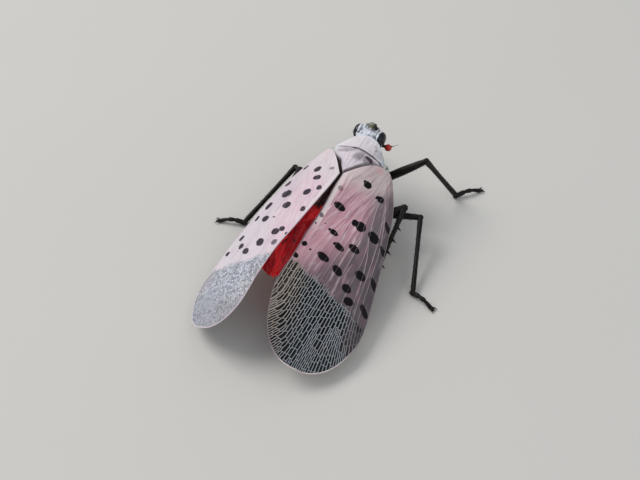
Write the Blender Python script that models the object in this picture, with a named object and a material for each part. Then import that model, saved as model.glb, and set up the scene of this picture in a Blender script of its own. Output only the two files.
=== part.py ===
"""Spotted lanternfly at rest on a floor, life size, with its forewings held open in a narrow V.

Sizes below are millimetres; the objects are built in metres, +Z up.
The insect faces -Y. Its left side is +X and its right side is -X.
The design frame has x = y = 0 at the middle of the mesonotum and z = 0 on the floor.
The root empty then moves everything so that the middle of the footprint is the origin.
"""

import math

import bmesh
import bpy
import numpy as np
from mathutils import Matrix, Vector

MM = 0.001
GAP = 0.26
SIDES = {"right": -1.0, "left": 1.0}

# Forewings: length from root to tip, upright depth of the membrane and height of a vein
FOREWING_LENGTH = 21.4
FOREWING_ROOT = (1.99, -0.5, 7.2)
WING_DEPTH = 0.58
VEIN_HEIGHT = 0.12
VEIN_HALF_WIDTH = 0.027
ARCH_ACROSS = 0.004
INNER_BASE, COSTAL_BASE = 2.0, -0.67
# The base of a wing bows towards the mesonotum and rises to it, over this length
BASE_BOW, BASE_SHOULDER, BASE_REACH = 0.85, 0.65, 4.0
# Distance from the base and width from there to the inner margin, which is folded further on the left
INNER_WIDTHS = {"right": ((0, 2.54), (2, 2.83), (4, 3.0), (6, 3.24), (8, 3.61), (11, 3.99), (14, 4.5),
                          (17, 4.48), (21.4, 4.4)),
                "left": ((0, 2.54), (2, 2.84), (4, 2.98), (6, 3.1), (8, 3.12), (10.5, 3.02), (13, 3.15),
                         (15, 3.43), (16.7, 3.84), (18.3, 4.15), (21.4, 4.3))}
# Distance from the base and width from there to the costal margin, the same on both
COSTAL_WIDTHS = ((0, 2.09), (2, 2.91), (4, 3.45), (7, 3.82), (11, 4.17), (14, 4.42), (17, 4.85), (21.4, 5.1))
APEX_START = 13.0
INNER_APEX_POWERS, COSTAL_APEX_POWER = {"right": 2.6, "left": 3.5}, 2.05
# Tip, slope of the roof in degrees, upward bow, twist in degrees and sideways bow of each wing
FOREWING_POSE = {"right": ((-5.04, 19.94, 2.02), 32.5, 0.68, -9.7, -0.24),
                 "left": ((4.69, 19.97, 2.4), 35.1, 0.65, 12.6, 0.05)}
# Main veins: place across the wing at the base and at the nodal line, and where each one starts
VEINS = ((0.07, 0.07, 0.0), (0.18, 0.19, 0.0), (0.29, 0.30, 0.0), (0.38, 0.42, 3.5),
         (0.47, 0.53, 0.0), (0.56, 0.64, 5.0), (0.65, 0.74, 0.0), (0.75, 0.84, 2.0),
         (0.87, 0.93, 0.0))
NODAL_LINE = 13.8
FOREWING_ROWS = (0, 1.1, 2.4, 3.9, 5.6, 7.5, 9.5, 11.6, 13.6, 15.4, 17.0, 18.4, 19.5, 20.3, 20.9, 21.3)

# Hindwings folded over the abdomen
HINDWING_FRONT, HINDWING_BACK = 2.55, 12.9
HINDWING_RIDGE = ((2.4, 6.9), (5.0, 6.62), (8.0, 6.1), (11.0, 5.2), (13.0, 4.5))
HINDWING_WIDTHS = ((2.4, 1.7), (5.0, 2.7), (8.0, 3.3), (11.0, 3.2), (12.2, 2.7), (13.0, 1.6))
HINDWING_INNER = 0.17
HINDWING_SLOPE = math.tan(math.radians(27.0))
HINDWING_CROWN = 0.8
HINDWING_PLEATS, PLEAT_DEPTH = 4, 0.22

# Body: middle height, half width and half height at stations along it
THORAX = ((-3.72, 6.35, 0.95, 0.72), (-2.7, 6.05, 1.55, 1.15), (-1.6, 5.75, 1.95, 1.42),
          (-0.2, 5.6, 2.05, 1.45), (1.2, 5.35, 2.05, 1.32), (2.4, 4.8, 2.0, 1.0), (3.3, 4.55, 1.95, 0.85))
ABDOMEN = ((3.56, 4.3, 1.95, 0.95), (5.0, 3.95, 2.2, 1.25), (7.0, 3.62, 2.25, 1.35),
           (9.0, 3.2, 2.2, 1.25), (11.0, 2.75, 1.9, 1.05), (12.6, 2.5, 1.3, 0.88), (13.6, 2.35, 0.55, 0.5))
ABDOMEN_SEGMENTS = 8
PLATE_THICKNESS, KEEL_HEIGHT = 0.45, 0.07
# Mesonotum: distance along it from 0 at the collar to 1 at its apex, and half width
MESONOTUM_APEX = 1.58
MESONOTUM_WIDTHS = ((0.0, 2.5), (0.26, 1.48), (0.52, 0.86), (0.78, 0.42), (1.0, 0.13))
# Pronotum: distance from its front to its back, and half width
PRONOTUM_FRONT, PRONOTUM_BACK = -3.75, -1.78
PRONOTUM_WIDTHS = ((0.0, 1.3), (0.3, 1.85), (0.75, 2.55), (1.0, 2.5))
BACK_HEIGHT = 8.25
TEGULA, TEGULA_RADII = (3.06, -1.85, 6.4), (0.46, 0.42, 0.34)

# Head, in its own frame, turned and shifted a little to follow the pose
HEAD_PLACE = (0.37, -4.47, 7.2)
HEAD_TURN = math.radians(-3.0)
CRANIUM = (1.3, 0.85, 1.1)
EYE = (0.42, 0.68, 0.62)
EYE_PLACE = (1.35, -0.12, 0.25)
SCAPE_PLACE = (1.38, -0.38, -0.74)
ANTENNA_PLACE = (1.86, -0.42, -0.8)
ANTENNA_RADIUS = 0.34
ARISTA_LENGTH = 1.15
HORN_TIP = (-0.15, -0.66, 1.36)

# Legs: end of the coxa, knee, heel and toe of each leg
LEG_POINTS = {
    "fore_right": ((-1.6, -2.95, 3.65), (-5.5, -4.84, 6.36), (-7.7, -7.76, 0.3), (-9.34, -9.6, 0.2)),
    "mid_right": ((-2.2, 0.7, 2.9), (-7.04, -0.64, 3.3), (-9.48, 5.83, 0.3), (-11.68, 6.57, 0.2)),
    "hind_right": ((-1.8, 2.75, 3.2), (-5.54, -0.22, 4.24), (-5.75, 7.7, 0.3), (-6.4, 10.0, 0.2)),
    "fore_left": ((1.6, -2.95, 3.65), (2.2, -7.4, 4.4), (4.5, -9.8, 0.3), (4.5, -11.6, 0.2)),
    "mid_left": ((2.2, 0.7, 3.2), (6.55, -1.04, 3.4), (8.78, 5.18, 0.3), (10.99, 5.92, 0.2)),
    "hind_left": ((1.8, 2.75, 3.1), (5.45, 0.0, 4.4), (6.4, 8.0, 0.3), (7.2, 10.3, 0.2)),
}
# Radius of the femur and of the knee of each pair of legs
LEG_RADII = {"fore": (0.42, 0.3), "mid": (0.36, 0.29), "hind": (0.38, 0.34)}
COXA_RADIUS, TIBIA_RADIUS, HEEL_RADIUS = 0.5, 0.25, 0.27
TARSUS_ARCH = 0.3
CLAW_LENGTH, CLAW_RADIUS = 0.45, 0.09
SPINE_LENGTH, SPINE_RADIUS = 0.5, 0.11
# Where along the hind tibia its spines stand
HIND_SPINES = (0.22, 0.36, 0.5, 0.66)

ROSTRUM_PATH = ((0.22, -3.95, 4.2), (0.12, -3.3, 3.65), (0.0, -2.0, 3.4), (0.0, 0.4, 3.2), (0.0, 2.5, 3.25))
ROSTRUM_RADII = (0.3, 0.28, 0.26, 0.22, 0.12)

COLOURS = {
    "wing": ((0.52, 0.41, 0.39, 1), 0.55), "hindwing": ((0.55, 0.012, 0.012, 1), 0.4),
    "plate": ((0.5, 0.47, 0.5, 1), 0.6), "head": ((0.38, 0.36, 0.38, 1), 0.6),
    "eye": ((0.006, 0.005, 0.006, 1), 0.12), "antenna": ((0.7, 0.07, 0.01, 1), 0.4),
    "leg": ((0.012, 0.010, 0.009, 1), 0.35), "thorax": ((0.05, 0.04, 0.04, 1), 0.6),
    "abdomen": ((0.5, 0.3, 0.03, 1), 0.5),
}


def smooth(table, place, column=1):
    """Reads a column of a table at a place, on a Catmull-Rom curve through its rows."""
    keys = [row[0] for row in table]
    values = [row[column] for row in table]
    last = len(keys) - 2
    i = min(max(int(np.searchsorted(keys, place)) - 1, 0), last)
    t = min(max((place - keys[i]) / (keys[i + 1] - keys[i]), 0.0), 1.0)
    before = values[i - 1] if i > 0 else 2 * values[i] - values[i + 1]
    after = values[i + 2] if i < last else 2 * values[i + 1] - values[i]
    a, b = values[i], values[i + 1]
    return 0.5 * (2 * a + (b - before) * t + (2 * before - 5 * a + 4 * b - after) * t ** 2
                  + (3 * a - before - 3 * b + after) * t ** 3)


def tube(rings, sides=8, power=1.0):
    """A closed tube through rings, each a centre with its half widths as two vectors."""
    shape = bmesh.new()
    bmesh.ops.create_cone(shape, cap_ends=True, segments=sides, radius1=1, radius2=1, depth=1)
    long_edges = [e for e in shape.edges if abs(e.verts[0].co.z - e.verts[1].co.z) > 0.5]
    bmesh.ops.subdivide_edges(shape, edges=long_edges, cuts=len(rings) - 2, use_grid_fill=True)
    for vert in shape.verts:
        centre, across, up = rings[round((vert.co.z + 0.5) * (len(rings) - 1))]
        x = math.copysign(abs(vert.co.x) ** power, vert.co.x)
        y = math.copysign(abs(vert.co.y) ** power, vert.co.y)
        vert.co = Vector(centre) + Vector(across) * x + Vector(up) * y
    bmesh.ops.recalc_face_normals(shape, faces=shape.faces)
    return shape


def path_tube(points, radii, sides=8, flat=1.0, side_ways=(0, 0, 1)):
    """A tube along points with a radius at each, flattened across one direction."""
    points = [Vector(p) for p in points]
    rings = []
    for k, point in enumerate(points):
        ahead = points[min(k + 1, len(points) - 1)] - points[max(k - 1, 0)]
        across = ahead.cross(Vector(side_ways)).normalized()
        up = across.cross(ahead).normalized()
        rings.append((point, across * radii[k] * flat, up * radii[k]))
    return tube(rings, sides)


def ball(centre, radii, columns=12, rows=8):
    """An ellipsoid."""
    shape = bmesh.new()
    bmesh.ops.create_uvsphere(shape, u_segments=columns, v_segments=rows, radius=1)
    bmesh.ops.transform(shape, matrix=Matrix.Translation(centre) @ Matrix.Diagonal((*radii, 1)),
                        verts=shape.verts)
    return shape


def cut(shape, point, normal):
    """Cuts off what lies past a plane and closes the cut."""
    everything = shape.verts[:] + shape.edges[:] + shape.faces[:]
    result = bmesh.ops.bisect_plane(shape, geom=everything, plane_co=point, plane_no=normal,
                                    clear_outer=True)
    rim = [g for g in result["geom_cut"] if isinstance(g, bmesh.types.BMEdge)]
    if rim:
        bmesh.ops.edgeloop_fill(shape, edges=rim)
        bmesh.ops.recalc_face_normals(shape, faces=shape.faces)
    return shape


def grown(shape, amount):
    """A copy of a closed shape with every face moved outwards."""
    copy = shape.copy()
    copy.normal_update()
    moves = [(vert, vert.normal * amount * vert.calc_shell_factor()) for vert in copy.verts]
    for vert, move in moves:
        vert.co += move
    return copy


def combined(base, others, operation="UNION"):
    """Joins closed shapes to a base, or cuts them out of it, and keeps the largest closed surface."""
    objects = []
    for shape in [base, *others]:
        mesh = bpy.data.meshes.new("piece")
        shape.to_mesh(mesh)
        objects.append(bpy.data.objects.new("piece", mesh))
        shape.free()
    bpy.context.scene.collection.objects.link(objects[0])
    pieces = bpy.data.collections.new("pieces")
    for piece in objects[1:]:
        pieces.objects.link(piece)
    boolean = objects[0].modifiers.new("combined", "BOOLEAN")
    boolean.operand_type = "COLLECTION"
    boolean.operation = operation
    boolean.collection = pieces
    boolean.solver = "EXACT"
    evaluated = objects[0].evaluated_get(bpy.context.evaluated_depsgraph_get())
    result = bmesh.new()
    result.from_mesh(evaluated.data)
    for piece in objects:
        bpy.data.objects.remove(piece)
    bpy.data.collections.remove(pieces)
    bmesh.ops.dissolve_degenerate(result, dist=0.004, edges=result.edges)
    keep_largest(result)
    return result


def keep_largest(shape):
    """Deletes every closed surface but the one with most faces."""
    left = set(shape.faces)
    groups = []
    while left:
        group, front = set(), [left.pop()]
        while front:
            face = front.pop()
            group.add(face)
            linked = {f for e in face.edges for f in e.link_faces} & left
            left -= linked
            front += linked
        groups.append(group)
    groups.sort(key=len)
    for group in groups[:-1]:
        bmesh.ops.delete(shape, geom=list(group), context="FACES")


class Model:
    """The collection, the root empty and the materials of the insect."""

    def __init__(self):
        self.parts = bpy.data.collections.new("spotted_lanternfly")
        bpy.context.scene.collection.children.link(self.parts)
        self.root = bpy.data.objects.new("lanternfly_root", None)
        self.parts.objects.link(self.root)
        self.materials = {name: self.make_material(name, *look) for name, look in COLOURS.items()}

    @staticmethod
    def make_material(name, colour, roughness):
        material = bpy.data.materials.new(name)
        material.use_nodes = True
        shader = material.node_tree.nodes["Principled BSDF"]
        shader.inputs["Base Color"].default_value = colour
        shader.inputs["Roughness"].default_value = roughness
        shader.inputs["Metallic"].default_value = 0.0
        return material

    def add(self, name, shape, look):
        """Makes a node of a shape in millimetres."""
        bmesh.ops.triangulate(shape, faces=shape.faces)
        bmesh.ops.scale(shape, vec=(MM, MM, MM), verts=shape.verts)
        mesh = bpy.data.meshes.new(name)
        shape.to_mesh(mesh)
        shape.free()
        mesh.shade_smooth()
        mesh.set_sharp_from_angle(angle=math.radians(40))
        mesh.materials.append(self.materials[look])
        part = bpy.data.objects.new(name, mesh)
        part.parent = self.root
        self.parts.objects.link(part)

    def centre_footprint(self):
        """Moves the root so that the middle of the footprint is the origin and the soles are at z = 0."""
        bpy.context.view_layer.update()
        corners = [part.matrix_world @ vert.co for part in self.parts.objects if part.type == "MESH"
                   for vert in part.data.vertices]
        low = Vector([min(c[i] for c in corners) for i in range(3)])
        high = Vector([max(c[i] for c in corners) for i in range(3)])
        self.root.location = (-(low.x + high.x) / 2, -(low.y + high.y) / 2, -low.z)


def sheet(columns, rows, place):
    """An open surface: a grid of columns and rows, each point put where place(i, j) says."""
    shape = bmesh.new()
    bmesh.ops.create_grid(shape, x_segments=columns - 1, y_segments=rows - 1, size=1)
    for vert in shape.verts:
        i = round((vert.co.x + 1) / 2 * (columns - 1))
        j = round((vert.co.y + 1) / 2 * (rows - 1))
        vert.co = place(i, j)
    bmesh.ops.triangulate(shape, faces=shape.faces)
    shape.normal_update()
    if sum(face.normal.z for face in shape.faces) < 0:
        bmesh.ops.reverse_faces(shape, faces=shape.faces)
    return shape


def deepened(surface, depth):
    """A closed sheet: the surface and a copy straight below it, joined round the rim."""
    top = surface.faces[:]
    result = bmesh.ops.extrude_face_region(surface, geom=top, use_keep_orig=True)
    below = [g for g in result["geom"] if isinstance(g, bmesh.types.BMVert)]
    bmesh.ops.translate(surface, verts=below, vec=(0, 0, -depth))
    bmesh.ops.recalc_face_normals(surface, faces=surface.faces)
    return surface


def forewing_point(side, along, across, lift=0.0):
    """A point of a forewing: along from 0 at the base, across from 0 inner to 1 costal margin."""
    sign = SIDES[side]
    tip, roof, bow_up, twist, bow_side = FOREWING_POSE[side]
    root = Vector((sign * FOREWING_ROOT[0], FOREWING_ROOT[1], FOREWING_ROOT[2]))
    span = Vector(tip) - root
    axis = span.normalized()
    level = Vector((sign, 0, 0))
    level = (level - axis * level.dot(axis)).normalized()
    upward = Vector((0, 0, 1))
    upward = (upward - axis * upward.dot(axis) - level * upward.dot(level)).normalized()
    roof, twist = math.radians(roof), math.radians(twist)
    outward = level * math.cos(roof) - upward * math.sin(roof)
    normal = upward * math.cos(roof) + level * math.sin(roof)
    length = FOREWING_LENGTH
    inner_along = INNER_BASE + along * (length - INNER_BASE) / length
    costal_along = COSTAL_BASE + along * (length - COSTAL_BASE) / length
    s = inner_along + (costal_along - inner_along) * across
    base = math.sin(math.pi * across) * max(1 - along / BASE_REACH, 0.0)
    s -= BASE_BOW * base
    taper = max(along - APEX_START, 0.0) / (length - APEX_START)
    power = INNER_APEX_POWERS[side]
    inner = smooth(INNER_WIDTHS[side], along) * (1 - taper ** power) ** (1 / power)
    costal = smooth(COSTAL_WIDTHS, along) * (1 - taper ** COSTAL_APEX_POWER) ** (1 / COSTAL_APEX_POWER)
    t = -inner + (inner + costal) * across
    u = s / length
    angle = twist * (u - 0.5)
    shifted = t + bow_side * 4 * u * (1 - u)
    height = bow_up * 4 * u * (1 - u) - shifted * math.sin(angle) - ARCH_ACROSS * t * t + lift
    height += BASE_SHOULDER * base
    return root + span * u + outward * (shifted * math.cos(angle)) + normal * height


def vein_place(side, vein, along):
    """Where a vein lies across the wing, and how high it stands there."""
    base, node, start = VEINS[vein]
    reach = min(along / NODAL_LINE, 1.3)
    rise = min(max((along - start) / 2.0, 0.0), 1.0) if start else 1.0
    fade = min(max((FOREWING_LENGTH - along) / 6.0, 0.0), 1.0)
    width = smooth(INNER_WIDTHS[side], along) + smooth(COSTAL_WIDTHS, along)
    return base + (node - base) * reach, VEIN_HEIGHT * rise * fade * width / 9.0


def forewing(side):
    """A forewing as a sheet whose main veins are raised in its own surface."""
    columns = 3 * len(VEINS) + 2

    def place(i, j):
        along = FOREWING_ROWS[j]
        if i == 0:
            return forewing_point(side, along, 0.0)
        if i == columns - 1:
            return forewing_point(side, along, 1.0)
        vein, offset = divmod(i - 1, 3)
        across, height = vein_place(side, vein, along)
        on_crest = offset == 1
        return forewing_point(side, along, across + (offset - 1) * VEIN_HALF_WIDTH, height * on_crest)

    return deepened(sheet(columns, len(FOREWING_ROWS), place), WING_DEPTH)


def hindwing(side):
    """A folded hindwing: a pleated sheet that slopes down over one side of the abdomen."""
    sign = SIDES[side]
    columns, rows = 2 * HINDWING_PLEATS + 1, 12

    def place(i, j):
        y = HINDWING_FRONT + (HINDWING_BACK - HINDWING_FRONT) * math.sin(j / (rows - 1) * math.pi / 2)
        v = i / (columns - 1)
        x = HINDWING_INNER + (smooth(HINDWING_WIDTHS, y) - HINDWING_INNER) * v
        depth = PLEAT_DEPTH * (i % 2) * min(i, j, 3) / 3
        fall = HINDWING_SLOPE * x * x / (x + HINDWING_CROWN)
        return Vector((sign * x, y, smooth(HINDWING_RIDGE, y) - fall - depth))

    return deepened(sheet(columns, rows, place), WING_DEPTH)


def body_length(stations, segments=0, sides=16):
    """A lofted length of the body, with a raised hind edge on each segment if it has any."""
    first, last = stations[0][0], stations[-1][0]
    count = 2 * segments if segments else 2 * len(stations)
    rings = []
    for k in range(count):
        y = first + (last - first) * k / (count - 1)
        edge = 1.03 if segments and k % 2 else 1.0
        height, half_width, half_height = (smooth(stations, y, c) for c in (1, 2, 3))
        rings.append(((0, y, height), (half_width * edge, 0, 0), (0, 0, half_height * edge)))
    return tube(rings, sides, power=0.9)


def back_height(x, y):
    """Height of the thorax plates, which fall away to the sides."""
    return BACK_HEIGHT - 1.1 * (abs(x) / 2.75) ** 1.6 - 0.02 * max(y, 0.0) ** 2


def collar_line(x):
    """Where the hind edge of the pronotum runs, a little further forward in the middle."""
    return PRONOTUM_BACK + 0.15 * math.sin(min(abs(x) / 2.4, 1.0) * math.pi)


def mesonotum():
    """The diamond plate between the wing bases, with a keel down the middle and one on each side."""
    columns, rows = 9, 10
    keels = (2, 4, 6)

    def place(i, j):
        u = j / (rows - 1)
        x = smooth(MESONOTUM_WIDTHS, u) * (2 * i / (columns - 1) - 1)
        front = collar_line(x) + 1.15 * GAP
        y = front + (MESONOTUM_APEX - front) * u
        keel = KEEL_HEIGHT if i in keels and 0 < j < rows - 1 else 0.0
        return Vector((x, y, back_height(x, y) + keel))

    return deepened(sheet(columns, rows, place), PLATE_THICKNESS)


def pronotum():
    """The collar plate behind the head, bent down at both sides."""
    columns, rows = 15, 7

    def place(i, j):
        v = 2 * i / (columns - 1) - 1
        u = j / (rows - 1)
        x = smooth(PRONOTUM_WIDTHS, u) * v
        front = PRONOTUM_FRONT + 0.35 * v * v
        y = front + (collar_line(x) - front) * u
        keel = KEEL_HEIGHT if i == columns // 2 and 0 < j < rows - 1 else 0.0
        return Vector((x, y, back_height(x, 0.0) - 0.14 * (1 - u) + keel))

    return deepened(sheet(columns, rows, place), PLATE_THICKNESS)


def tegula(side):
    """The small scale that covers the front of a forewing's base."""
    x, y, z = TEGULA
    shape = ball((SIDES[side] * x, y, z), TEGULA_RADII, 10, 6)
    wing_edge = forewing_point(side, 0.0, 0.9)
    ahead = (forewing_point(side, 2.0, 0.9) - wing_edge).normalized()
    return cut(shape, wing_edge - ahead * GAP, ahead)


def head_matrix():
    """Places and turns what belongs to the head."""
    return Matrix.Translation(HEAD_PLACE) @ Matrix.Rotation(HEAD_TURN, 4, "Z")


def in_head(shape):
    """Moves a shape from the head's own frame to its place."""
    bmesh.ops.transform(shape, matrix=head_matrix(), verts=shape.verts)
    return shape


def eye(side, margin=0.0):
    """An eyeball, or the larger cutter that leaves a gap round it."""
    x, y, z = EYE_PLACE
    radii = [r + margin for r in EYE]
    return ball((SIDES[side] * x, y, z), radii, 14, 10)


def head():
    """Cranium, broad face, clypeus and the short upturned process, with a socket for each eye."""
    cranium = ball((0, 0, 0), CRANIUM, 18, 12)
    face_path = ((0, -0.35, 0.95), (0, -0.62, 0.6), (0, -0.72, -0.1), (0, -0.6, -0.9), (0, -0.35, -1.6),
                 (0, -0.05, -2.25), (0, 0.15, -2.5))
    face_widths = (0.6, 0.88, 0.86, 0.74, 0.52, 0.34, 0.2)
    rings = []
    for point, width in zip(face_path, face_widths):
        rings.append((point, (-width, 0, 0), (0, 0.3 + 0.1 * width, 0)))
    face = tube(rings, 12, power=0.8)
    horn = path_tube(((0, -0.15, 0.6), (-0.03, -0.36, 0.92), (-0.09, -0.53, 1.18), HORN_TIP),
                     (0.34, 0.28, 0.2, 0.08), sides=8, flat=1.7)
    solid = combined(cranium, [face, horn])
    solid = combined(solid, [eye(side, GAP) for side in SIDES], "DIFFERENCE")
    in_head(solid)
    return cut(solid, Vector((0, PRONOTUM_FRONT - GAP, 0)), Vector((0, 1, 0)))


def antenna(side):
    """A round orange bulb below the eye, on a short stalk and with a thin bristle."""
    sign = SIDES[side]
    centre = Vector((sign * ANTENNA_PLACE[0], ANTENNA_PLACE[1], ANTENNA_PLACE[2]))
    bulb = ball(centre, (ANTENNA_RADIUS,) * 3, 10, 8)
    direction = Vector((sign * 0.72, -0.42, 0.3)).normalized()
    bristle = path_tube((centre, centre + direction * 0.45, centre + direction * ARISTA_LENGTH),
                        (0.16, 0.12, 0.04), sides=6)
    stalk = path_tube(((sign * SCAPE_PLACE[0], SCAPE_PLACE[1], SCAPE_PLACE[2]), centre), (0.17, 0.2), sides=8)
    return in_head(combined(bulb, [bristle, stalk]))


def limb(start, end, radii, before=None, after=None, flat=1.0, round_knee=True):
    """A length of leg between two joints, mitred to meet the lengths before and after it."""
    start, end = Vector(start), Vector(end)
    ahead = (end - start).normalized()
    stations = [-0.9] + [k / (len(radii) - 1) for k in range(len(radii))] + [1.0]
    length = (end - start).length
    points = [start + ahead * (-0.9 if before else 0.0)]
    points += [start + ahead * length * k for k in stations[1:-1]]
    points.append(end + ahead * (0.9 if after else 0.0))
    sizes = [radii[0], *radii, radii[-1]]
    if not before:
        points, sizes = points[1:], sizes[1:]
    if not after:
        points, sizes = points[:-1], sizes[:-1]
    shape = path_tube(points, sizes, 10, flat)
    for joint, other, sign, radius in ((start, before, -1, radii[0]), (end, after, 1, radii[-1])):
        if other is None:
            continue
        beyond = (Vector(other) - joint).normalized()
        mitre = (ahead * sign + beyond).normalized()
        cut(shape, joint - mitre * GAP / 2, mitre)
        corner = (ahead * sign - beyond).normalized()
        if round_knee and (ahead * sign).dot(beyond) < 0.7:
            cut(shape, joint + corner * radius * 1.15, corner)
    return shape


def above_floor(shape):
    """Cuts a foot level with the floor."""
    if min(vert.co.z for vert in shape.verts) < 0:
        cut(shape, Vector((0, 0, 0)), Vector((0, 0, -1)))
    return shape


def tarsus(heel, toe, knee):
    """The foot: an arched length from the heel to the toe, with two claws, standing on small flats."""
    heel, toe = Vector(heel), Vector(toe)
    run = toe - heel
    fractions = (-0.25, 0.0, 0.3, 0.6, 0.85, 1.0, 1.08)
    radii = (0.26, 0.28, 0.21, 0.2, 0.22, 0.22, 0.12)
    points = []
    for f in fractions:
        rise = TARSUS_ARCH * math.sin(math.pi * min(max(f, 0.0), 1.0)) - 0.03 * (f > 0.9)
        points.append(heel + run * f + Vector((0, 0, rise)))
    foot = path_tube(points, radii, 8)
    forward = Vector((run.x, run.y, 0)).normalized()
    sideways = forward.cross(Vector((0, 0, 1)))
    claws = []
    for sign in (-1, 1):
        base = toe + forward * 0.05 + sideways * sign * 0.08
        bend = base + (forward + sideways * sign * 0.5) * CLAW_LENGTH * 0.7 + Vector((0, 0, 0.08))
        point = base + (forward + sideways * sign * 0.6) * CLAW_LENGTH - Vector((0, 0, 0.08))
        claws.append(path_tube((base, bend, point), (CLAW_RADIUS, 0.07, 0.03), 5))
    foot = combined(foot, claws)
    back = (Vector(knee) - heel).normalized()
    mitre = (back - forward).normalized()
    cut(foot, heel - mitre * GAP / 2, mitre)
    return above_floor(foot)


def hind_tibia_spines(knee, heel, outward):
    """Short spines along the outer side of a hind tibia."""
    knee, heel = Vector(knee), Vector(heel)
    ahead = (heel - knee).normalized()
    spines = []
    for share in HIND_SPINES:
        place = knee + (heel - knee) * share
        direction = (outward + ahead * 0.6).normalized()
        spines.append(path_tube((place, place + direction * (TIBIA_RADIUS + SPINE_LENGTH)),
                                (SPINE_RADIUS * 1.3, 0.03), 5))
    return spines


def leg(model, name, thorax_cutter):
    """Coxa, femur, tibia and tarsus of one leg."""
    hip, knee, heel, toe = LEG_POINTS[name]
    pair, side = name.split("_")
    femur_radius, knee_radius = LEG_RADII[pair]
    root = Vector((SIDES[side] * 0.85, hip[1] - 0.1, 4.9))
    coxa = limb(root, hip, (COXA_RADIUS, COXA_RADIUS, femur_radius + 0.02), after=knee)
    coxa = combined(coxa, [thorax_cutter.copy()], "DIFFERENCE")
    model.add(f"{name}_coxa", coxa, "leg")
    femur = limb(hip, knee, (femur_radius, femur_radius + 0.02, femur_radius, knee_radius), root, heel)
    model.add(f"{name}_femur", femur, "leg")
    foot_ahead = Vector((toe[0], toe[1], heel[2]))
    tibia = limb(knee, heel, (knee_radius, TIBIA_RADIUS, TIBIA_RADIUS, HEEL_RADIUS), hip, foot_ahead)
    if pair == "hind":
        tibia = combined(tibia, hind_tibia_spines(knee, heel, Vector((SIDES[side], 0, 0.2))))
    model.add(f"{name}_tibia", above_floor(tibia), "leg")
    model.add(f"{name}_tarsus", tarsus(heel, toe, knee), "leg")


def main():
    for thing in list(bpy.data.objects):
        bpy.data.objects.remove(thing)
    model = Model()
    thorax = body_length(THORAX)
    thorax_cutter = grown(thorax, GAP)
    model.add("thorax", thorax, "thorax")
    model.add("abdomen", body_length(ABDOMEN, ABDOMEN_SEGMENTS), "abdomen")
    model.add("pronotum", pronotum(), "plate")
    model.add("mesonotum", mesonotum(), "plate")
    model.add("head", head(), "head")
    model.add("rostrum", path_tube(ROSTRUM_PATH, ROSTRUM_RADII), "leg")
    for side in SIDES:
        model.add(f"forewing_{side}", forewing(side), "wing")
        model.add(f"hindwing_{side}", hindwing(side), "hindwing")
        model.add(f"tegula_{side}", tegula(side), "plate")
        model.add(f"eye_{side}", in_head(eye(side)), "eye")
        model.add(f"antenna_{side}", antenna(side), "antenna")
    for name in LEG_POINTS:
        leg(model, name, thorax_cutter)
    thorax_cutter.free()
    model.centre_footprint()


if __name__ == "__main__":
    main()
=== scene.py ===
"""Spotted lanternfly at rest, life size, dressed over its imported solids.

Lengths in this file are millimetres until a piece is finished, which scales it to metres.
Points are in the insect's own frame: it faces -Y, its left side is +X, and x = y = 0 is the middle
of the mesonotum. Workshop.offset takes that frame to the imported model's.
"""

import logging
import math
import random
from dataclasses import dataclass, field, replace
from enum import Enum
from functools import partial
from typing import Callable, Iterable, Sequence

import bmesh
import bpy
from mathutils import Matrix, Vector, noise


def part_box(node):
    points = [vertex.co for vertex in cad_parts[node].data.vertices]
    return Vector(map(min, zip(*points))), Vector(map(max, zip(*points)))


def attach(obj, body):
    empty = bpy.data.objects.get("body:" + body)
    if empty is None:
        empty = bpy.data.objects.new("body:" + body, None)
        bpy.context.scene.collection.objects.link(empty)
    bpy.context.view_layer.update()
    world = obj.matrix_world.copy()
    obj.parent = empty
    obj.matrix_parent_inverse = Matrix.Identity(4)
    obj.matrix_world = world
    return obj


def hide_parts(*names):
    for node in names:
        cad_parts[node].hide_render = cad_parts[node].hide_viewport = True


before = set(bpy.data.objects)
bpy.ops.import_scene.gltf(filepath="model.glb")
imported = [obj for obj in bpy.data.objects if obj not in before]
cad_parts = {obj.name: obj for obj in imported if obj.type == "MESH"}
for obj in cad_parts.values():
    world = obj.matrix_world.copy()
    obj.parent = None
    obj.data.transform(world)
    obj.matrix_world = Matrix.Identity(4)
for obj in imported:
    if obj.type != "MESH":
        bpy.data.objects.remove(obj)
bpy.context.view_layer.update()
LOG = logging.getLogger("lanternfly")
MM = 0.001
UP = Vector((0.0, 0.0, 1.0))
THORAX_FRONT = 3.72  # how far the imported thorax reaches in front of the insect's own origin
SHARP_ANGLE = math.radians(50.0)  # past this angle an edge of a piece stays sharp
Point = Sequence[float]
Tone = tuple[float, float, float]


class Side(Enum):
    """One side of the insect, with the sign of its X."""

    RIGHT = -1.0
    LEFT = 1.0

    @property
    def word(self) -> str:
        """The side as it stands in node names."""
        return self.name.lower()


class Pair(Enum):
    """A pair of legs, with the radius of its femur and of its knee."""

    FORE = (0.42, 0.3)
    MID = (0.36, 0.29)
    HIND = (0.38, 0.34)


def tone(red: float, green: float, blue: float) -> tuple[float, float, float, float]:
    """A colour given in screen steps from 0 to 255.

    Args:
        red: Step of the red.
        green: Step of the green.
        blue: Step of the blue.

    Returns:
        The linear colour with full alpha.
    """
    linear = [((step / 255 + 0.055) / 1.055) ** 2.4 if step > 10 else step / 3294
              for step in (red, green, blue)]
    return (*linear, 1.0)


def ease(low: float, high: float, value: float) -> float:
    """A smooth step from 0 at low to 1 at high."""
    share = min(max((value - low) / (high - low), 0.0), 1.0)
    return share * share * (3 - 2 * share)


def hump(value: float, middle: float, width: float) -> float:
    """A smooth hump of height 1 at its middle, which is all but gone two widths away."""
    return math.exp(-((value - middle) / width) ** 2)


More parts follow.
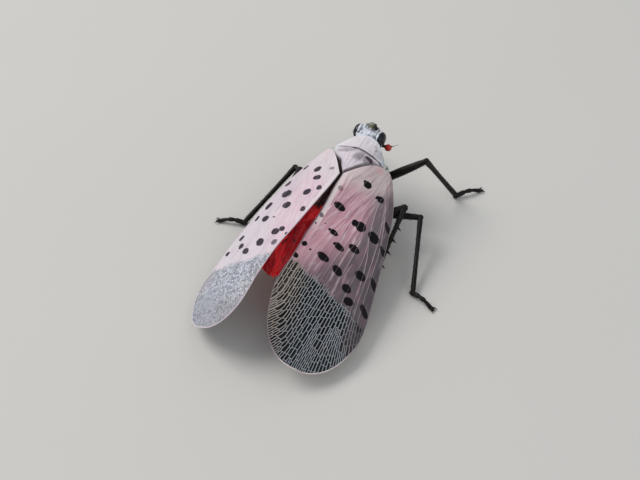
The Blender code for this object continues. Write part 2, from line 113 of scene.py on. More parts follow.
def smooth(table: Sequence[Point], place: float, column: int = 1) -> float:
    """Reads a column of a table at a place, on a Catmull-Rom curve through its rows.

    Args:
        table: Rows that begin with their place.
        place: Where to read.
        column: Which column to read.

    Returns:
        The value there.
    """
    keys = [row[0] for row in table]
    values = [row[column] for row in table]
    last = len(keys) - 2
    i = min(max(sum(key < place for key in keys) - 1, 0), last)
    t = min(max((place - keys[i]) / (keys[i + 1] - keys[i]), 0.0), 1.0)
    before = values[i - 1] if i > 0 else 2 * values[i] - values[i + 1]
    after = values[i + 2] if i < last else 2 * values[i + 1] - values[i]
    a, b = values[i], values[i + 1]
    return 0.5 * (2 * a + (b - before) * t + (2 * before - 5 * a + 4 * b - after) * t ** 2
                  + (3 * a - before - 3 * b + after) * t ** 3)


class Graph:
    """Adds nodes to one node tree."""

    def __init__(self, tree: bpy.types.NodeTree) -> None:
        """Keeps the tree that the nodes go to."""
        self.tree = tree

    def feed(self, socket: bpy.types.NodeSocket, value: object) -> None:
        """Links a socket to another one, or sets its value."""
        if isinstance(value, bpy.types.NodeSocket):
            self.tree.links.new(value, socket)
        elif value is not None:
            socket.default_value = value

    def add(self, kind: str, inputs: dict | None = None, **settings: object) -> bpy.types.Node:
        """Adds one node.

        Args:
            kind: The node's type without its common prefix.
            inputs: What each input gets.
            settings: Properties of the node.

        Returns:
            The new node.
        """
        node = self.tree.nodes.new("ShaderNode" + kind)
        for key, value in settings.items():
            setattr(node, key, value)
        for key, value in (inputs or {}).items():
            self.feed(node.inputs[key], value)
        return node

    def calc(self, operation: str, *values: object, clamp: bool = False) -> bpy.types.NodeSocket:
        """The result of a Math node."""
        node = self.add("Math", operation=operation, use_clamp=clamp)
        for socket, value in zip(node.inputs, values):
            self.feed(socket, value)
        return node.outputs[0]

    def times(self, one: object, other: object, clamp: bool = False) -> bpy.types.NodeSocket:
        """The product of two values."""
        return self.calc("MULTIPLY", one, other, clamp=clamp)

    def plus(self, one: object, other: object) -> bpy.types.NodeSocket:
        """The sum of two values."""
        return self.calc("ADD", one, other)

    def minus(self, one: object, other: object) -> bpy.types.NodeSocket:
        """The first value less the second."""
        return self.calc("SUBTRACT", one, other)

    def rest(self, share: object) -> bpy.types.NodeSocket:
        """What a share leaves of 1."""
        return self.minus(1.0, share)

    def most(self, one: object, other: object) -> bpy.types.NodeSocket:
        """The larger of two values."""
        return self.calc("MAXIMUM", one, other)

    def vector(self, operation: str, one: object, other: object) -> bpy.types.NodeSocket:
        """The result of a Vector Math node."""
        return self.add("VectorMath", {0: one, 1: other}, operation=operation).outputs[0]

    def split(self, vector: object) -> bpy.types.bpy_prop_collection:
        """The three numbers of a vector or a colour."""
        return self.add("SeparateXYZ", {0: vector}).outputs

    def attribute(self, name: str) -> bpy.types.Node:
        """An attribute of the piece's own mesh."""
        return self.add("Attribute", attribute_name=name, attribute_type="GEOMETRY")

    def blend(self, share: object, low: object, high: object) -> bpy.types.NodeSocket:
        """Mixes two colours, each a socket or a tone."""
        node = self.add("Mix", data_type="RGBA")
        self.feed(node.inputs[0], share)
        for index, colour in ((6, low), (7, high)):
            self.feed(node.inputs[index], tone(*colour) if isinstance(colour, tuple) else colour)
        return node.outputs[2]

    def layered(self, ground: object, layers: Iterable[tuple[object, object]]) -> object:
        """Lays colours over a ground one after another, each by its own share.

        Args:
            ground: The lowest colour, a socket or a tone.
            layers: The share and the colour of each layer.

        Returns:
            The colour that shows.
        """
        for share, colour in layers:
            ground = self.blend(share, ground, colour)
        return ground

    def step(self, value: object, low: object, high: object) -> bpy.types.NodeSocket:
        """A smooth step from 0 at low to 1 at high."""
        return self.add("MapRange", {"Value": value, "From Min": low, "From Max": high},
                        interpolation_type="SMOOTHSTEP").outputs[0]

    def noise(self, place: object, scale: object, detail: float = 2.0, roughness: float = 0.5
              ) -> bpy.types.NodeSocket:
        """The value of a noise, about 0.5 on average."""
        return self.add("TexNoise", {"Vector": place, "Scale": scale, "Detail": detail,
                                     "Roughness": roughness}).outputs[0]

    def stretched(self, place: object, scale: Point, turn: Point = (0, 0, 0)) -> bpy.types.NodeSocket:
        """A place turned and scaled by a Mapping node."""
        return self.add("Mapping", {"Vector": place, "Scale": scale, "Rotation": turn}).outputs[0]

    def cells(self, place: object, scale: object) -> bpy.types.Node:
        """A Voronoi texture."""
        return self.add("TexVoronoi", {"Vector": place, "Scale": scale})

    def wander(self, place: object, scale: float, detail: float, reach: float) -> bpy.types.NodeSocket:
        """A place without its height, moved about by a noise.

        Args:
            place: The place.
            scale: Scale of the noise.
            detail: Detail of the noise.
            reach: How far the noise moves the place.

        Returns:
            The moved place.
        """
        colour = self.add("TexNoise", {"Vector": place, "Scale": scale, "Detail": detail}).outputs[1]
        move = self.vector("MULTIPLY", self.vector("SUBTRACT", colour, (0.5, 0.5, 0.5)), (reach, reach, 0.0))
        return self.vector("MULTIPLY", self.vector("ADD", place, move), (1, 1, 0))


class Coat:
    """A material under work: its graph, its shader and the place on the piece in millimetres."""

    def __init__(self, name: str, roughness: float, specular: float = 0.5, coat: float = 0.0,
                 sheen: float = 0.0) -> None:
        """Starts a material with its constant values on the shader's own sockets.

        Args:
            name: Name of the material.
            roughness: Roughness where nothing else drives it.
            specular: Specular level.
            coat: Weight of the clear coat.
            sheen: Weight of the sheen.
        """
        self.material = bpy.data.materials.new(name)
        self.material.use_nodes = True
        self.graph = Graph(self.material.node_tree)
        self.shader = self.material.node_tree.nodes["Principled BSDF"]
        constants = {"Roughness": roughness, "Specular IOR Level": specular, "Coat Weight": coat,
                     "Coat Roughness": 0.15, "Sheen Weight": sheen}
        for socket, value in constants.items():
            self.shader.inputs[socket].default_value = value
        here = self.graph.add("TexCoord").outputs["Object"]
        self.place = self.graph.stretched(here, (1 / MM,) * 3)

    def flat(self) -> tuple[bpy.types.NodeSocket, ...]:
        """The wing's own flat coordinates: as a vector, across, along and share of the width."""
        vector = self.graph.attribute("flat").outputs["Vector"]
        return (vector, *self.graph.split(vector))

    def finish(self, colour: object, roughness: object = None, height: object = None, strength: float = 0.3,
               depth: float = 0.02) -> bpy.types.Material:
        """Links colour, roughness and relief to the shader.

        Args:
            colour: The base colour.
            roughness: The roughness, if it changes over the surface.
            height: The height of the relief, if there is one.
            strength: Strength of the relief.
            depth: How deep a height of one is, in millimetres.

        Returns:
            The finished material.
        """
        self.graph.feed(self.shader.inputs["Base Color"], colour)
        self.graph.feed(self.shader.inputs["Roughness"], roughness)
        if height is not None:
            bump = self.graph.add("Bump", {"Height": height, "Strength": strength, "Distance": depth * MM})
            self.graph.feed(self.shader.inputs["Normal"], bump.outputs[0])
        return self.material


def node_group(name: str, inputs: dict[str, tuple[str, float]], outputs: Sequence[str],
               make: Callable[[Graph, dict], dict]) -> bpy.types.NodeTree:
    """Makes a node group with named inputs and outputs.

    Args:
        name: Name of the group.
        inputs: Kind and first value of each input.
        outputs: Names of the outputs, all of them numbers.
        make: Makes the nodes from the input sockets and returns the output sockets.

    Returns:
        The group.
    """
    tree = bpy.data.node_groups.new(name, "ShaderNodeTree")
    for key, (kind, value) in inputs.items():
        socket = tree.interface.new_socket(name=key, in_out="INPUT", socket_type="NodeSocket" + kind)
        if kind == "Float":
            socket.default_value = value
    for key in outputs:
        tree.interface.new_socket(name=key, in_out="OUTPUT", socket_type="NodeSocketFloat")
    graph = Graph(tree)
    source = tree.nodes.new("NodeGroupInput")
    drain = tree.nodes.new("NodeGroupOutput")
    made = make(graph, {key: source.outputs[key] for key in inputs})
    for key, socket in made.items():
        tree.links.new(socket, drain.inputs[key])
    return tree


@dataclass(frozen=True)
class Spot:
    """An oval mark on a piece seen flat, with its turn in degrees, its depth and the width of its edge."""

    across: float
    along: float
    half_length: float
    half_width: float
    turn: float = 0.0
    depth: float = 1.0
    softness: float = 0.1


def spots(rows: Iterable[Point]) -> tuple[Spot, ...]:
    """Makes the spots of a table."""
    return tuple(Spot(*row) for row in rows)


class Groups:
    """The shared effects, each built once."""

    def __init__(self) -> None:
        """Builds the spot, the waxy bloom and the skin grain."""
        place = {"Place": ("Vector", 0.0)}
        sizes = {"Across": 0.0, "Along": 0.0, "Half Length": 0.5, "Half Width": 0.4, "Turn": 0.0,
                 "Softness": 0.1}
        numbers = {key: ("Float", value) for key, value in sizes.items()}
        self.spot = node_group("wing_spot", {**place, **numbers}, ["Mask"], self.make_spot)
        self.bloom = node_group("waxy_bloom", {**place, "Scale": ("Float", 6.0), "Amount": ("Float", 0.5)},
                                ["Mask", "Height"], self.make_bloom)
        self.grain = node_group("skin_grain", {**place, "Scale": ("Float", 20.0)}, ["Mask", "Height"],
                                self.make_grain)

    @staticmethod
    def make_spot(graph: Graph, inputs: dict) -> dict:
        """An ellipse whose edge is as soft as it is told."""
        centre = graph.add("CombineXYZ", {0: inputs["Across"], 1: inputs["Along"]}).outputs[0]
        away = graph.vector("SUBTRACT", inputs["Place"], centre)
        back = graph.times(inputs["Turn"], -1.0)
        turned = graph.add("VectorRotate", {"Vector": away, "Angle": back}, rotation_type="Z_AXIS")
        parts = graph.split(turned.outputs[0])
        x = graph.calc("DIVIDE", parts[0], inputs["Half Length"])
        y = graph.calc("DIVIDE", parts[1], inputs["Half Width"])
        far = graph.calc("SQRT", graph.plus(graph.times(x, x), graph.times(y, y)))
        low, high = graph.rest(inputs["Softness"]), graph.plus(1.0, inputs["Softness"])
        return {"Mask": graph.rest(graph.step(far, low, high))}

    @staticmethod
    def make_bloom(graph: Graph, inputs: dict) -> dict:
        """Patches and specks of pale wax."""
        broad = graph.noise(inputs["Place"], inputs["Scale"], 4.0, 0.65)
        fine = graph.noise(inputs["Place"], graph.times(inputs["Scale"], 7.0))
        both = graph.plus(graph.times(broad, 0.7), graph.times(fine, 0.3))
        edge = graph.minus(0.72, graph.times(inputs["Amount"], 0.45))
        return {"Mask": graph.step(both, edge, graph.plus(edge, 0.14)), "Height": both}

    @staticmethod
    def make_grain(graph: Graph, inputs: dict) -> dict:
        """Fine pits and wrinkles of the skin."""
        pits = graph.cells(inputs["Place"], inputs["Scale"]).outputs[0]
        folds = graph.noise(inputs["Place"], graph.times(inputs["Scale"], 0.4), 3.0)
        return {"Mask": folds, "Height": graph.plus(graph.times(pits, 0.5), folds)}

    def use(self, graph: Graph, name: str, inputs: dict) -> bpy.types.Node:
        """Places one of the groups in a graph."""
        node = graph.tree.nodes.new("ShaderNodeGroup")
        node.node_tree = getattr(self, name)
        for key, value in inputs.items():
            graph.feed(node.inputs[key], value)
        return node

    def marks(self, graph: Graph, place: object, rows: Iterable[Spot], mask: object = 0.0, dim: float = 1.0,
              shift: Point = (0.0, 0.0)) -> object:
        """Adds spots to a mask.

        Args:
            graph: The graph that gets their nodes.
            place: The place on the piece, without its height.
            rows: The spots.
            mask: The mask that they are added to.
            dim: What their depth is multiplied by.
            shift: How far their middles are moved.

        Returns:
            The mask with the spots.
        """
        for spot in rows:
            oval = self.use(graph, "spot", {
                "Place": place, "Across": spot.across + shift[0], "Along": spot.along + shift[1],
                "Half Length": spot.half_length, "Half Width": spot.half_width,
                "Turn": math.radians(spot.turn), "Softness": spot.softness}).outputs[0]
            mask = graph.most(mask, graph.times(oval, spot.depth * dim))
        return mask


GROUPS = Groups()


@dataclass(frozen=True)
class WingTones:
    """The tones of one forewing: its skin from root to net, its cells and its marks, and a painted glint
    (bright flecks in the tip's cells that stand for reflected light) with its share.
    """

    root: Tone
    rose: Tone
    costal: Tone
    far: Tone
    stripe: Tone
    salmon: Tone
    vein: Tone
    cell: Tone
    cell_edge: Tone
    tip: Tone
    painted_glint: Tone
    painted_glint_share: float
    spot: Tone
    streak: Tone


@dataclass(frozen=True)
class WingPlace:
    """What a forewing's finish reads: its flat coordinates, the fan of lines from its root, and noises."""

    flat: bpy.types.NodeSocket
    t: bpy.types.NodeSocket
    s: bpy.types.NodeSocket
    share: bpy.types.NodeSocket
    lines: bpy.types.NodeSocket
    broad: bpy.types.NodeSocket
    fine: bpy.types.NodeSocket
    drift: bpy.types.NodeSocket

    @classmethod
    def read(cls, coat: Coat) -> "WingPlace":
        """Makes the nodes in a coat; the lines' first number stays the same along each of them."""
        g = coat.graph
        flat, t, s, share = coat.flat()
        lines = g.add("CombineXYZ", {0: g.calc("DIVIDE", g.minus(t, 3.0), g.plus(s, 6.0)), 1: s}).outputs[0]
        return cls(flat, t, s, share, lines, g.noise(g.stretched(lines, (17.0, 0.3, 1.0)), 1.0, 3.0, 0.6),
                   g.noise(g.stretched(lines, (52.0, 0.55, 1.0)), 1.0), g.noise(flat, 0.5))


@dataclass(frozen=True)
class MembraneFinish:
    """The leathery part of a forewing with its spots, and the dark cells of its tip."""

    name: str
    tones: WingTones
    spots: tuple[Spot, ...]
    border: float
    border_slope: float
    raised: float = 0.0

    def build(self) -> bpy.types.Material:
        """Makes the material."""
        coat = Coat(self.name, 0.5, 0.15)
        g, at = coat.graph, WingPlace.read(coat)
        net = self.net_mask(g, at)
        smoky = g.times(g.step(at.t, 2.3, 3.7), g.rest(g.step(at.s, 16.0, 19.0)))
        shown = g.times(net, g.rest(g.times(smoky, 0.6)))
        dim = 0.78 if self.raised else 1.0
        mask = GROUPS.marks(g, g.wander(at.flat, 2.2, 2.0, 0.16), self.spots, dim=dim)
        colour = g.layered(self.skin(g, at), ((shown, self.cells(g, at, net)), (mask, self.tones.spot)))
        roughness = g.minus(0.55, g.times(g.most(mask, shown), 0.12))
        relief = g.plus(g.times(at.broad, 0.6), g.times(at.fine, 0.4))
        return coat.finish(colour, roughness, relief, 0.3, 0.06)

    def skin(self, g: Graph, at: WingPlace) -> bpy.types.NodeSocket:
        """The colour of the leathery part, without its spots.

        Args:
            g: The graph that gets the nodes.
            at: What the finish reads.

        Returns:
            The colour.
        """
        tones = self.tones
        drifted = g.plus(at.s, g.times(at.drift, 1.4))
        rosy = g.times(g.step(drifted, 2.6, 4.6), g.rest(g.step(at.t, 0.6, 2.6)))
        costal = g.times(g.step(at.t, 0.2, 2.2), g.step(g.plus(at.s, at.t), 2.4, 5.0))
        far = g.step(g.plus(at.s, g.times(at.t, 1.1)), 6.5, 12.0)
        salmon = GROUPS.marks(g, g.vector("MULTIPLY", at.flat, (1, 1, 0)),
                              (Spot(0.55, -0.05, 0.45, 0.35, softness=0.6),))
        near = g.times(g.minus(0.75, g.times(g.step(at.s, 7.5, 12.0), 0.4)), g.rest(g.times(costal, 0.65)))
        seam = g.plus(g.times(at.s, -0.105), -1.95)
        stripe = g.times(g.step(g.minus(seam, at.t), -0.05, 0.08), g.rest(g.step(at.s, 6.6, 9.6)))
        return g.layered(tones.root, (
            (g.times(rosy, g.plus(0.5, g.times(at.broad, 0.8)), clamp=True), tones.rose),
            (g.times(costal, 0.92), tones.costal),
            (g.times(far, 0.9), tones.far),
            (g.times(salmon, 0.5), tones.salmon),
            (g.times(g.step(at.broad, 0.45, 0.68), 0.55), tones.streak),
            (g.times(g.step(at.fine, 0.52, 0.7), near), tones.vein),
            (stripe, tones.stripe),
            (g.times(g.step(at.share, 0.905, 0.93), 0.35), tones.far),
            (self.raised, tones.vein)))

    def cells(self, g: Graph, at: WingPlace, net: bpy.types.NodeSocket) -> bpy.types.NodeSocket:
        """The colour of the cells between the veins of the tip, with a painted glint of reflected light on
        some of them.

        Args:
            g: The graph that gets the nodes.
            at: What the finish reads.
            net: Mask of the netted tip.

        Returns:
            The colour.
        """
        tones = self.tones
        edge = g.most(g.rest(g.step(net, 0.3, 0.9)), g.step(at.t, -2.7, -4.2))
        # Painted glint: bright flecks in some cells stand for light that the cells reflect.
        painted_glint_cells = g.split(g.cells(g.stretched(at.lines, (80.0, 4.6, 1.0)), 1.0).outputs["Color"])[0]
        dim = g.times(g.step(g.plus(at.s, g.times(at.drift, 2.0)), 17.6, 20.4), 0.62)
        return g.layered(tones.cell, ((g.times(edge, 0.8), tones.cell_edge),
                                      (g.times(g.step(painted_glint_cells, 0.2, 0.9), tones.painted_glint_share), tones.painted_glint),
                                      (dim, tones.tip)))

    def net_mask(self, g: Graph, at: WingPlace) -> bpy.types.NodeSocket:
        """Where the netted tip begins, with an uneven edge."""
        edge = g.plus(self.border, g.times(at.t, self.border_slope))
        uneven = g.times(g.minus(g.noise(at.flat, 2.0), 0.5), 1.3)
        return g.step(g.minus(g.plus(at.s, uneven), edge), -0.25, 0.3)


@dataclass(frozen=True)
class NetFinish:
    """The pale veins of the netted tip."""

    name: str
    middle: Tone
    rim: Tone
    smoke: Tone

    def build(self) -> bpy.types.Material:
        """Makes the material."""
        coat = Coat(self.name, 0.42, 0.5)
        g = coat.graph
        flat, t, s, _ = coat.flat()
        patch = g.times(g.step(g.noise(flat, 1.1), 0.45, 0.7), 0.35)
        smoky = g.times(g.step(t, 2.2, 3.8), g.rest(g.step(s, 16.5, 19.5)))
        colour = g.layered(self.middle, ((g.step(t, -0.8, -3.6), self.rim), (patch, self.rim),
                                         (g.times(smoky, 0.85), self.smoke)))
        return coat.finish(colour, None, g.noise(flat, 9.0), 0.3, 0.02)


@dataclass(frozen=True)
class SatinFinish:
    """The red hindwing with its dark spots and a dark front part, which is partly painted shade under the
    forewings; its facets are painted lit and shaded, and it has a faint painted glow.
    """

    name: str

    def build(self) -> bpy.types.Material:
        """Makes the material."""
        coat = Coat(self.name, 0.34, 0.5, sheen=0.2)
        g = coat.graph
        flat, _, s, _ = coat.flat()
        # Painted light: a noise and the facets pick where the bright red of a lit facet shows.
        shade = g.noise(g.stretched(flat, (1.8, 0.5, 1.0)), 1.0, 3.0, 0.6)
        facet = g.split(g.cells(g.stretched(flat, (1.1, 0.4, 1.0), (0, 0, 0.3)), 1.0).outputs["Color"])[0]
        painted_lit_facets = g.step(g.plus(g.times(shade, 0.5), g.times(facet, 0.5)), 0.25, 0.7)
        tan = g.noise(g.stretched(flat, (1.1, 0.7, 1.0)), 1.0, 3.0)
        # The dark brown front with its tan patches is partly painted shade under the forewings.
        front = g.blend(g.times(g.step(tan, 0.5, 0.7), 0.7), (44, 22, 20), (120, 82, 66))
        base = g.rest(g.step(g.plus(s, g.times(tan, 1.2)), 5.7, 6.1))
        specks = g.cells(g.stretched(flat, (0.75, 0.62, 1.0)), 1.0).outputs["Distance"]
        dots = g.times(g.rest(g.step(specks, 0.2, 0.27)), g.rest(g.step(s, 10.2, 10.9)))
        colour = g.layered((172, 12, 28), ((painted_lit_facets, (244, 50, 56)), (base, front), (dots, (40, 14, 18))))
        ribs = g.noise(g.stretched(flat, (9.0, 0.5, 1.0)), 1.0)
        # Painted glow: the red gives off a little light of its own.
        coat.shader.inputs["Emission Strength"].default_value = 0.12
        g.feed(coat.shader.inputs["Emission Color"], colour)
        return coat.finish(colour, g.plus(0.26, g.times(shade, 0.2)), ribs, 0.4, 0.06)


@dataclass(frozen=True)
class CuticleFinish:
    """Hard dark skin of the legs and the beak, dusted with a little wax."""

    name: str
    dark: Tone = (15, 13, 13)
    brown: Tone = (38, 31, 27)
    dust: float = 0.06
    roughness: float = 0.42

    def build(self) -> bpy.types.Material:
        """Makes the material."""
        coat = Coat(self.name, self.roughness, 0.22)
        g = coat.graph
        grain = GROUPS.use(g, "grain", {"Place": coat.place, "Scale": 9.0})
        bloom = GROUPS.use(g, "bloom", {"Place": coat.place, "Scale": 1.6, "Amount": self.dust})
        dusted = g.times(bloom.outputs[0], 0.55)
        colour = g.layered(self.dark, ((g.step(grain.outputs[0], 0.4, 0.7), self.brown),
                                       (dusted, (150, 146, 142))))
        roughness = g.plus(self.roughness, g.times(dusted, 0.5))
        return coat.finish(colour, roughness, grain.outputs[1], 0.4, 0.03)


@dataclass(frozen=True)
class WaxFinish:
    """Pale waxy skin of the plates and the head, with dark marks where the wax has gone; on the head some of
    the marks are painted shade.
    """

    name: str
    pale: Tone
    grey: Tone
    dark: Tone
    bloom: float = 0.7
    blotches: tuple[Spot, ...] = ()
    roughness: float = 0.6
    tint: Tone = (128, 122, 78)
    frost: Tone = (232, 236, 242)

    def build(self) -> bpy.types.Material:
        """Makes the material."""
        coat = Coat(self.name, self.roughness, 0.35)
        g = coat.graph
        bloom = GROUPS.use(g, "bloom", {"Place": coat.place, "Scale": 1.1, "Amount": self.bloom})
        grain = GROUPS.use(g, "grain", {"Place": coat.place, "Scale": 8.0})
        mark, tint, frost = (g.attribute(name).outputs["Fac"] for name in ("mark", "tint", "frost"))
        mark = GROUPS.marks(g, g.wander(coat.place, 1.3, 3.0, 0.6), self.blotches, mark, shift=WORK.offset)
        # Dark marks: bare of wax on the plates, and on the head partly painted shade.
        bare_and_shaded = g.times(mark, g.plus(0.6, g.times(grain.outputs[0], 0.8)), clamp=True)
        frosty = g.times(frost, g.plus(0.35, g.noise(coat.place, 3.0, 3.0, 0.7)), clamp=True)
        colour = g.layered(self.grey, ((bloom.outputs[0], self.pale), (frosty, self.frost),
                                       (tint, self.tint), (bare_and_shaded, self.dark)))
        roughness = g.minus(self.roughness, g.times(bare_and_shaded, 0.2))
        height = g.plus(g.times(grain.outputs[1], 0.4), bloom.outputs[1])
        return coat.finish(colour, roughness, height, 0.4, 0.05)


@dataclass(frozen=True)
class EyeFinish:
    """A black compound eye with its fine facets."""

    name: str = "eye_gloss"

    def build(self) -> bpy.types.Material:
        """Makes the material."""
        coat = Coat(self.name, 0.2, 0.3, coat=0.35)
        g = coat.graph
        facets = g.cells(coat.place, 16.0).outputs["Distance"]
        shade = g.noise(coat.place, 1.4, 2.0)
        colour = g.blend(g.step(shade, 0.4, 0.7), (7, 7, 13), (16, 14, 24))
        return coat.finish(colour, None, facets, 0.12, -0.008)


@dataclass(frozen=True)
class BulbFinish:
    """The orange-red bulb of an antenna with its sensing pits."""

    name: str = "antenna_orange"

    def build(self) -> bpy.types.Material:
        """Makes the material."""
        coat = Coat(self.name, 0.35, 0.5, coat=0.2)
        g = coat.graph
        pits = g.step(g.cells(coat.place, 5.5).outputs["Distance"], 0.12, 0.3)
        shade = g.noise(coat.place, 2.2, 2.0)
        colour = g.blend(g.step(shade, 0.35, 0.7), (190, 26, 24), (212, 52, 34))
        colour = g.blend(g.times(g.rest(pits), 0.7), colour, (246, 190, 140))
        return coat.finish(colour, None, pits, 0.4, -0.02)


@dataclass(frozen=True)
class BandedFinish:
    """The yellow abdomen with a dark band and a pale hem on every segment."""

    name: str = "abdomen_bands"

    def build(self) -> bpy.types.Material:
        """Makes the material."""
        coat = Coat(self.name, 0.45, 0.45)
        g = coat.graph
        band = g.attribute("mark").outputs["Fac"]
        bloom = GROUPS.use(g, "bloom", {"Place": coat.place, "Scale": 1.5, "Amount": 0.35})
        grain = GROUPS.use(g, "grain", {"Place": coat.place, "Scale": 10.0})
        uneven = g.times(g.minus(grain.outputs[0], 0.5), 0.5)
        colour = g.blend(g.step(g.plus(band, uneven), 0.35, 0.6), (206, 158, 32), (30, 24, 22))
        colour = g.blend(g.times(bloom.outputs[0], 0.45), colour, (214, 206, 190))
        return coat.finish(colour, None, grain.outputs[1], 0.4, 0.04)


@dataclass(frozen=True)
class FloorFinish:
    """The plain pale floor."""

    name: str = "floor_plain"

    def build(self) -> bpy.types.Material:
        """Makes the material."""
        coat = Coat(self.name, 0.85, 0.2)
        g = coat.graph
        shade = g.noise(coat.place, 0.02, 2.0)
        return coat.finish(g.blend(shade, (216, 213, 208), (221, 218, 213)))


class Workshop:
    def __init__(self) -> None:
        """Finds the offset of the insect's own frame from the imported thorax."""
        low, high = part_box("thorax")
        self.offset = Vector(((low[0] + high[0]) / 2 / MM, low[1] / MM + THORAX_FRONT, 0.0))
        self.count = 0

    def object(self, name: str, shape: bmesh.types.BMesh) -> bpy.types.Object:
        """Makes an object of a shape as it is, and frees the shape."""
        mesh = bpy.data.meshes.new(name)
        shape.to_mesh(mesh)
        shape.free()
        made = bpy.data.objects.new(name, mesh)
        bpy.context.scene.collection.objects.link(made)
        return made

    def piece(self, name: str, shape: bmesh.types.BMesh, look: bpy.types.Material,
              stands_for: Iterable[str] = ()) -> bpy.types.Object:
        """Finishes a piece.

        Args:
            name: Name of the piece.
            shape: Its shape in millimetres in the insect's frame.
            look: Its material.
            stands_for: The CAD nodes that it replaces.

        Returns:
            The finished object.
        """
        bmesh.ops.recalc_face_normals(shape, faces=shape.faces)
        bmesh.ops.translate(shape, verts=shape.verts, vec=self.offset)
        bmesh.ops.scale(shape, verts=shape.verts, vec=(MM, MM, MM))
        faces = len(shape.faces)
        made = self.object(name, shape)
        made.data.shade_smooth()
        made.data.set_sharp_from_angle(angle=SHARP_ANGLE)
        made.data.materials.append(look)
        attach(made, "root")
        if stands_for:
            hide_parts(*stands_for)
        self.count += 1
        LOG.info("piece %s: %d faces", name, faces)
        return made


WORK = Workshop()


def pose(place: Point, across: Vector, up: Vector, ahead: Vector) -> Matrix:
    """The matrix that puts X, Y and Z along three directions at a place."""
    return Matrix.Translation(place) @ Matrix((across, up, ahead)).transposed().to_4x4()


def add_tube(shape: bmesh.types.BMesh, points: Sequence[Point], radii: Sequence[float], sides: int = 8,
             flat: float = 1.0, side_ways: Point = (0, 0, 1), tags: Sequence[Point] | None = None
             ) -> list[bmesh.types.BMVert]:
    """Adds a closed tube along points to a shape.

    Args:
        shape: The shape that gets the tube.
        points: Its middle line.
        radii: A radius at each point.
        sides: Number of sides.
        flat: Width as a share of the height.
        side_ways: A direction that the tube's height turns towards.
        tags: Flat wing coordinates at each point, kept in the layer "flat".

    Returns:
        The vertices of the tube.
    """
    line = [Vector(point) for point in points]
    layer = shape.verts.layers.float_vector.get("flat") if tags else None
    ring = bmesh.ops.create_circle(shape, cap_ends=True, segments=sides, radius=1)["verts"]
    edges = list({edge for vert in ring for edge in vert.link_edges})
    made, last = [], Matrix()
    for k, point in enumerate(line):
        ahead = (line[min(k + 1, len(line) - 1)] - line[max(k - 1, 0)]).normalized()
        across = ahead.cross(Vector(side_ways)).normalized()
        up = across.cross(ahead)
        here = pose(point, across, up, ahead) @ Matrix.Diagonal((radii[k] * flat, radii[k], 1, 1))
        if k:
            grown = bmesh.ops.extrude_edge_only(shape, edges=edges)["geom"]
            ring = [part for part in grown if isinstance(part, bmesh.types.BMVert)]
            edges = [part for part in grown if isinstance(part, bmesh.types.BMEdge)]
        bmesh.ops.transform(shape, matrix=here @ last.inverted(), verts=ring)
        last = here
        made += ring
        if layer:
            for vert in ring:
                vert[layer] = Vector(tags[k])
    bmesh.ops.contextual_create(shape, geom=edges)
    return made


def add_ball(shape: bmesh.types.BMesh, centre: Point, radii: Point, columns: int = 16, rows: int = 10
             ) -> list[bmesh.types.BMVert]:
    """Adds an ellipsoid to a shape."""
    matrix = Matrix.Translation(centre) @ Matrix.Diagonal((*radii, 1))
    return bmesh.ops.create_uvsphere(shape, u_segments=columns, v_segments=rows, radius=1,
                                     matrix=matrix)["verts"]


def fused(shape: bmesh.types.BMesh, voxel: float, rounds: int = 3) -> bmesh.types.BMesh:
    """Turns overlapping closed shapes into one smooth skin.

    Args:
        shape: The shapes, which are freed.
        voxel: Size of the voxels that the skin is made with.
        rounds: How often the skin is smoothed.

    Returns:
        The skin.
    """
    made = WORK.object("fusing", shape)
    remesh = made.modifiers.new("skin", "REMESH")
    remesh.mode = "VOXEL"
    remesh.voxel_size = voxel
    ready = made.evaluated_get(bpy.context.evaluated_depsgraph_get())
    skin = bmesh.new()
    skin.from_mesh(ready.to_mesh())
    ready.to_mesh_clear()
    bpy.data.objects.remove(made)
    for _ in range(rounds):
        bmesh.ops.smooth_vert(skin, verts=skin.verts, factor=0.5, use_axis_x=True, use_axis_y=True,
                              use_axis_z=True)
    skin.normal_update()
    return skin


def push(shape: bmesh.types.BMesh, how_far: Callable[[Vector], float]) -> None:
    """Moves every vertex along its normal by what how_far says of its place."""
    shape.normal_update()
    moves = [(vert, vert.normal * how_far(vert.co)) for vert in shape.verts]
    for vert, move in moves:
        vert.co += move


def mark(shape: bmesh.types.BMesh, how_much: Callable[[Vector], float], name: str = "mark") -> None:
    """Keeps a number from 0 to 1 on every vertex, which the finishes read by its name."""
    layer = shape.verts.layers.float.new(name)
    for vert in shape.verts:
        vert[layer] = min(max(how_much(vert.co), 0.0), 1.0)


def flat_shape() -> bmesh.types.BMesh:
    """An empty shape whose vertices can keep flat coordinates."""
    shape = bmesh.new()
    shape.verts.layers.float_vector.new("flat")
    return shape


def sheet(columns: int, rows: int, place: Callable[[float, float], tuple[Vector, Vector]], depth: float
          ) -> bmesh.types.BMesh:
    """A closed sheet: a grid laid on a surface, with a wall below it.

    Args:
        columns: Points across.
        rows: Points along.
        place: Gives the point and the flat coordinates for shares of 0 to 1 across and along.
        depth: How thick the sheet is.

    Returns:
        The closed sheet with its flat coordinates in the layer "flat".
    """
    shape = flat_shape()
    layer = shape.verts.layers.float_vector.get("flat")
    bmesh.ops.create_grid(shape, x_segments=columns - 1, y_segments=rows - 1, size=1)
    for vert in shape.verts:
        vert.co, vert[layer] = place((vert.co.x + 1) / 2, (vert.co.y + 1) / 2)
    shape.normal_update()
    if sum(face.normal.z for face in shape.faces) < 0:
        bmesh.ops.reverse_faces(shape, faces=shape.faces)
    top = shape.faces[:]
    result = bmesh.ops.extrude_face_region(shape, geom=top, use_keep_orig=True)
    for vert in [part for part in result["geom"] if isinstance(part, bmesh.types.BMVert)]:
        vert.co.z -= depth
    bmesh.ops.recalc_face_normals(shape, faces=shape.faces)
    return shape


